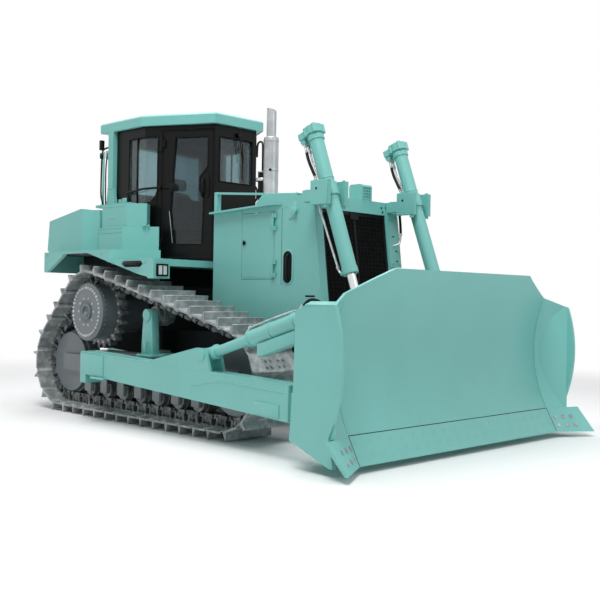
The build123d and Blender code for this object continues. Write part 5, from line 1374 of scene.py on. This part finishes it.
def makeCabRails():
    # bar across each side window
    by = -cabSetup["bend"][1]
    end = wallPlace(0.235, 0.030, 2.514)
    parts = [pipe([(-1.535, by - 0.002, 2.476), (-1.530, by - 0.032, 2.476), (-1.36, by - 0.034, 2.486),
                   (-1.23, by - 0.034, 2.500), (-1.18, by - 0.020, 2.504), tuple(end)], 0.0125),
             bar(wallPlace(0.235, -0.004, 2.514), wallPlace(0.235, 0.042, 2.514), 0.020, 20, 0.004),
             bar((-1.535, by + 0.004, 2.476), (-1.535, by - 0.012, 2.476), 0.026, 20, 0.004)]
    paired("windowRail", parts, "cab_black")
    # thin strut, lamp and tube behind the roll-over post
    strut = [block((-1.936, -0.790, 2.36), (-1.912, -0.772, 2.985), 0.003, 1)]
    paired("rearStrut", strut, "mint_paint")
    tube = [pipe([(-1.905, -0.800, 2.352), (-1.905, -0.800, 2.40), (-1.945, -0.800, 2.46),
                  (-1.948, -0.796, 2.70),
                  (-1.948, -0.790, 2.98), (-1.930, -0.775, 3.02), (-1.85, -0.76, 3.03)], 0.010),
            pipe([(-1.894, -0.765, 2.352), (-1.900, -0.765, 2.44), (-1.905, -0.765, 2.95),
                  (-1.85, -0.75, 2.99)],
                 0.008),
            bar((-1.955, -0.812, 2.935), (-1.930, -0.780, 2.935), 0.034, 20, 0.006),
            block((-1.960, -0.825, 3.00), (-1.915, -0.775, 3.115), 0.008)]
    paired("rearTube", tube, "cab_black")
    # roof gutter, and a small block under the eave
    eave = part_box("cab_roof")[0][2]
    gutter = []
    outline = [(-1.99, -0.765), (-1.212, -0.745), (-0.430, -0.345)]
    for begin, finish in zip(outline, outline[1:]):
        gutter.append(pipe([(*begin, eave + 0.003), (*finish, eave + 0.003)], 0.008, 8, 2))
    lift = [block((-1.95, -0.70, eave - 0.018), (-1.88, -0.62, eave + 0.001), 0.004, 1)]
    paired("roofGutter", gutter + lift, "mint_paint")


def makePostBolts():
    # bolts on the base plates of the roll-over frame, and their weld
    spots = [((x, y, 2.350), (0, 0, 1)) for x, y in
             ((-1.885, -0.83), (-1.69, -0.845), (-1.62, -0.845), (-1.53, -0.79),
              (-1.44, -0.845), (-1.36, -0.79))]
    pairedBolts("postBaseBolts", spots, 0.014, "mint_paint")
    welds = [weldBead((-1.842, -0.777, 2.352), (-1.738, -0.777, 2.352), 0.006, 0.001),
             weldBead((-1.842, -0.777, 2.545), (-1.738, -0.777, 2.545), 0.005, 0.001),
             block((-1.40, -0.872, 2.349), (-1.33, -0.850, 2.400), 0.005, 1),
             block((-1.47, -0.872, 2.349), (-1.43, -0.850, 2.390), 0.005, 1)]
    paired("postWelds", welds, "mint_paint")


def cushion(low, high, crown):
    # a crowned pad: subdivided block whose middle swells and whose corners pull in
    pad = block(low, high)
    pick(pad)
    bpy.ops.object.mode_set(mode="EDIT")
    bpy.ops.mesh.select_all(action="SELECT")
    bpy.ops.mesh.subdivide(number_cuts=7)
    bpy.ops.object.mode_set(mode="OBJECT")
    middle = (Vector(low) + Vector(high)) / 2
    half = (Vector(high) - Vector(low)) / 2
    for vertex in pad.data.vertices:
        share = Vector([(vertex.co[axis] - middle[axis]) / half[axis] for axis in range(3)])
        swell = [1.0, 1.0, 1.0]
        for axis in range(3):
            others = [share[other] for other in range(3) if other != axis]
            swell[axis] = 1 - 0.10 * crown * (others[0] ** 2 + others[1] ** 2)
        vertex.co = middle + Vector([share[axis] * half[axis] * swell[axis] for axis in range(3)])
    surface = pad.modifiers.new("round", "SUBSURF")
    surface.levels = 2
    surface.render_levels = 2
    pick(pad)
    bpy.ops.object.modifier_apply(modifier="round")
    bpy.ops.object.shade_smooth()
    return pad


def makeSeat():
    base = [block((-1.56, -0.20, 1.722), (-1.14, 0.20, 1.80), 0.02),
            block((-1.50, -0.16, 1.79), (-1.20, 0.16, 2.06), 0.03),
            block((-1.57, -0.235, 2.05), (-1.11, 0.235, 2.09), 0.015)]
    for step in range(5):
        z = 1.82 + 0.046 * step
        base.append(block((-1.515, -0.175, z), (-1.185, 0.175, z + 0.026), 0.012))
    for side in (-1, 1):
        base.append(block((-1.50, side * 0.235 - 0.02, 2.28), (-1.18, side * 0.235 + 0.02, 2.33), 0.015, 3))
        base.append(block((-1.50, side * 0.235 - 0.012, 2.06), (-1.45, side * 0.235 + 0.012, 2.29), 0.008))
    frameSeat = joined("seatBase", base, "console_plastic")
    pads = {"seatPad": cushion((-1.555, -0.225, 2.085), (-1.085, 0.225, 2.205), 1.0),
            "seatBolsterRight": cushion((-1.53, -0.25, 2.12), (-1.11, -0.185, 2.225), 0.7),
            "seatBolsterLeft": cushion((-1.53, 0.185, 2.12), (-1.11, 0.25, 2.225), 0.7),
            "backPad": cushion((-1.630, -0.22, 2.17), (-1.505, 0.22, 2.56), 1.0),
            "headPad": cushion((-1.620, -0.14, 2.575), (-1.520, 0.14, 2.72), 0.9)}
    for name, pad in pads.items():
        piece = joined(name, [pad], "seat_fabric")
    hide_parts("seat")
    posts = [bar((-1.575, y, 2.50), (-1.575, y, 2.61), 0.007, 10) for y in (-0.06, 0.06)]
    joined("headPosts", posts, "bright_steel")


def makeControls():
    # side stands with booted levers, pedals and the gauge hood
    dark = []
    for side in (-1, 1):
        x, y = -1.08, side * 0.33
        dark.append(block((x - 0.16, y - 0.07, 1.722), (x + 0.10, y + 0.07, 2.16), 0.03, 3))
        dark.append(bar((x, y, 2.155), (x + 0.01, y, 2.20), 0.03, 20, 0.004, foot=0.045))
        dark.append(bar((x + 0.01, y, 2.19), (x + 0.03, y, 2.33), 0.010, 12))
        dark.append(bar((x + 0.027, y, 2.31), (x + 0.036, y, 2.40), 0.024, 18, 0.008))
    for y in (-0.09, 0.0, 0.09):
        dark.append(block((-0.83, y - 0.03, 1.80), (-0.815, y + 0.03, 1.92), 0.006))
        dark.append(bar((-0.822, y, 1.86), (-0.78, y, 1.84), 0.009, 10))
    joined("cabControls", dark, "console_plastic")
    low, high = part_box("console")
    rim = [block((low[0] - 0.012, low[1] - 0.012, high[2] - 0.055),
                 (high[0] - 0.02, high[1] + 0.012, high[2] - 0.002),
                 0.012, 3)]
    joined("gaugeHood", rim, "console_plastic")


makeDoorTrim()
makeWindowTrim()
makeWipers()
makeCabRails()
makePostBolts()
makeSeat()
makeControls()
print("cab trim, seat and controls made")


# platforms, lamps, tank and rear

platformSetup = {"handle": (-0.624, 1.638, 0.185, 0.030), "lamp": (-0.25, 1.150, 1.575)}


def makePlatformDetails():
    cx, cz, half, tall = platformSetup["handle"]
    y = -1.2503
    outline = ((cx - half, cz + 0.008), (cx - half + 0.03, cz + tall), (cx + half - 0.03, cz + tall),
               (cx + half, cz), (cx + half - 0.04, cz - tall), (cx - half + 0.06, cz - tall))
    # near-black plate behind the step grip: painted shade for its recess
    well = plate(upright(y, outline), (0, -0.0015, 0))
    paired("stepWellShade", [well], "edge_seal")
    grip = [pipe([(cx - half + 0.03, y, cz + 0.004), (cx - half + 0.035, y - 0.030, cz + 0.004),
                  (cx, y - 0.034, cz + 0.004), (cx + half - 0.035, y - 0.030, cz + 0.004),
                  (cx + half - 0.03, y, cz + 0.004)], 0.012)]
    paired("stepGrip", grip, "cab_black")
    # lamp bezels with their centre bars
    x, ly, lz = platformSetup["lamp"]
    bezel = []
    for low, high in (((-0.068, -0.062), (0.068, -0.046)), ((-0.068, 0.046), (0.068, 0.062)),
                      ((-0.068, -0.062), (-0.050, 0.062)), ((0.050, -0.062), (0.068, 0.062)),
                      ((-0.007, -0.05), (0.007, 0.05))):
        bezel.append(block((x - 0.001, low[0] - ly, lz + low[1]),
                           (x + 0.0235, high[0] - ly, lz + high[1]), 0.003, 1))
    paired("lampBezel", bezel, "cab_black")
    # non-slip studs on the platforms in front of the doors
    stud = bar((0, 0, -0.001), (0, 0, 0.004), 0.011, 8, 0, foot=0.014)
    studs = []
    for row in range(9):
        for column in range(12):
            sx, sy = -0.30 - 0.058 * column - 0.029 * (row % 2), -1.21 + 0.05 * row
            if sx > -0.95 and sy < -0.80:
                studs.append(moved(stud, Matrix.Translation((sx, sy, 1.690))))
    bpy.data.objects.remove(stud)
    paired("platformStuds", studs, "mint_paint")
    # bolts along the skirt
    spots = [((x, -1.2502, z), (0, -1, 0)) for x, z in ((-0.40, 1.655), (-0.98, 1.655),
                                                        (-1.20, 1.76), (-1.60, 1.775),
             (-2.00, 1.775), (-2.34, 1.775))]
    pairedBolts("skirtBolts", spots, 0.010, "mint_paint")


def makeBoxDetails():
    # lid rims, caps, a grip plate and seams of the side boxes
    parts = [block((-1.645, -1.014, 2.050), (-1.18, -1.006, 2.064), 0.003, 1),
             bar((-0.972, -0.862, 2.066), (-0.972, -0.862, 2.094), 0.022, 20, 0.005),
             bar((-0.935, -0.835, 2.066), (-0.935, -0.835, 2.082), 0.018, 20, 0.004),
             block((-1.50, -0.9635, 2.16), (-1.40, -0.958, 2.19), 0.003, 1),
             block((-1.62, -0.9635, 2.295), (-1.20, -0.958, 2.305), 0.002, 1)]
    paired("boxTrim", parts, "mint_paint")
    seams = [block((-1.648, -1.0108, 1.9995), (-1.19, -1.009, 2.0015)),
             block((-1.6495, -1.0105, 1.803), (-1.6475, -1.008, 2.063))]
    paired("boxSeams", seams, "edge_seal")


def makeTankDetails():
    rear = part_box("fuel_tank")[0][0]

    def topAt(x):
        # the lid slopes down to the rear
        return 2.300 - (-1.96 - x) * 0.157

    up = (-0.155, 0, 0.988)
    cap = [bar((-2.20, 0.55, topAt(-2.20) - 0.002), (-2.203, 0.55, topAt(-2.20) + 0.030), 0.075, 32, 0.006),
           bar((-2.203, 0.55, topAt(-2.20) + 0.028), (-2.206, 0.55, topAt(-2.20) + 0.050), 0.052, 12, 0.006)]
    joined("tankCap", cap, "cab_black")
    ribs = []
    for y in (-0.62, 0.62):
        ribs.append(plate([(-1.975, y - 0.03, 2.2985), (-2.655, y - 0.03, 2.1915), (-2.657, y + 0.03, 2.1915),
                           (-1.975, y + 0.03, 2.2985)], (0, 0, 0.006), 0.002, 1))
    for y0, y1 in ((-0.80, -0.10), (0.10, 0.80)):
        panel = block((rear + 0.004, y0, 1.88), (rear + 0.045, y1, 2.12), 0.006)
        centre = Vector((rear + 0.025, 0, 2.0))
        turn = Matrix.Translation(centre) @ Matrix.Rotation(0.11, 4, "Y") @ Matrix.Translation(-centre)
        panel.data.transform(turn)
        ribs.append(panel)
    joined("tankRibs", ribs, "mint_paint")
    spots = []
    for y in (-1.0, -0.5, 0.0, 0.5, 1.0):
        spots.append(((-2.02, y, topAt(-2.02)), up))
        spots.append(((-2.60, y, topAt(-2.60)), up))
    boltSet("tankBolts", spots, 0.011, "mint_paint")


def makeRearDetails():
    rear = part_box("main_frame")[0][0]
    cover = [block((rear - 0.024, -0.42, 0.80), (rear + 0.002, 0.42, 1.52), 0.012)]
    insetFaces(cover[0], lambda normal, middle: normal.x < -0.9, 0.05, 0.008)
    cover.append(bar((rear - 0.03, 0, 1.16), (rear - 0.060, 0, 1.16), 0.13, 36, 0.008))
    joined("caseCover", cover, "mint_paint")
    spots = [((rear - 0.023, y, z), (-1, 0, 0)) for y in (-0.395, -0.2, 0.0, 0.2, 0.395)
             for z in (0.825, 1.495)]
    spots += [((rear - 0.023, y, z), (-1, 0, 0)) for y in (-0.395, 0.395) for z in (0.99, 1.16, 1.33)]
    for index in range(8):
        angle = 2 * math.pi * index / 8
        spots.append(((rear - 0.059, 0.105 * math.cos(angle), 1.16 + 0.105 * math.sin(angle)), (-1, 0, 0)))
    boltSet("caseBolts", spots, 0.013, "bright_steel")
    pin = [bar((-2.780, 0, 0.47), (-2.780, 0, 0.775), 0.034, 28, 0.004),
           bar((-2.780, 0, 0.755), (-2.780, 0, 0.785), 0.050, 28, 0.006),
           pipe([(-2.780, -0.035, 0.78), (-2.780, -0.05, 0.85), (-2.780, 0.0, 0.89), (-2.780, 0.05, 0.85),
                 (-2.780, 0.035, 0.78)], 0.009)]
    joined("hitchPin", pin, "bright_steel")


makePlatformDetails()
makeBoxDetails()
makeTankDetails()
makeRearDetails()
print("platforms, lamps, tank and rear dressed")


# near-black sheets of painted shade under the fenders, and the cutting edge's seams

fenderShadeSetup = {"top": 1.775, "low": 1.665, "rear": -2.375, "front": -0.285, "in": -0.744, "out": -1.206,
              "stepX": -1.06, "hem": 1.64}


def makeFenderShade():
    # near-black sheets under each fender and down its inner wall: painted shade where the fender's underside
    # falls in shadow
    rear, front, inside, out, top, low = (fenderShadeSetup[key]
                                          for key in ("rear", "front", "in", "out", "top", "low"))
    stepX, hem = fenderShadeSetup["stepX"], fenderShadeSetup["hem"]
    skin = [(rear, hem), (front, hem), (front, low), (-0.88, low), (-0.88, top), (rear, top)]
    parts = [block((rear, out, top - 0.004), (stepX, inside, top + 0.0005)),
             block((stepX, out, low - 0.004), (front, inside, low + 0.0005)),
             plate(upright(inside, skin), (0, -0.004, 0))]
    paired("fenderShadeSheet", parts, "painted_shade_black")


def makeEdgeSeams():
    top, low = 0.2745, 0.062
    parts = [pipe([edgeSpot(-1.449, top)[0], edgeSpot(1.449, top)[0]], 0.0032, 8)]
    for y in (-1.449, 1.449):
        parts.append(pipe([edgeSpot(y, top)[0], edgeSpot(y, low)[0]], 0.0025, 8))
    joined("edgeSeams", parts, "edge_seal", "dozer")


makeFenderShade()
makeEdgeSeams()
print("fender liners and edge seams made")
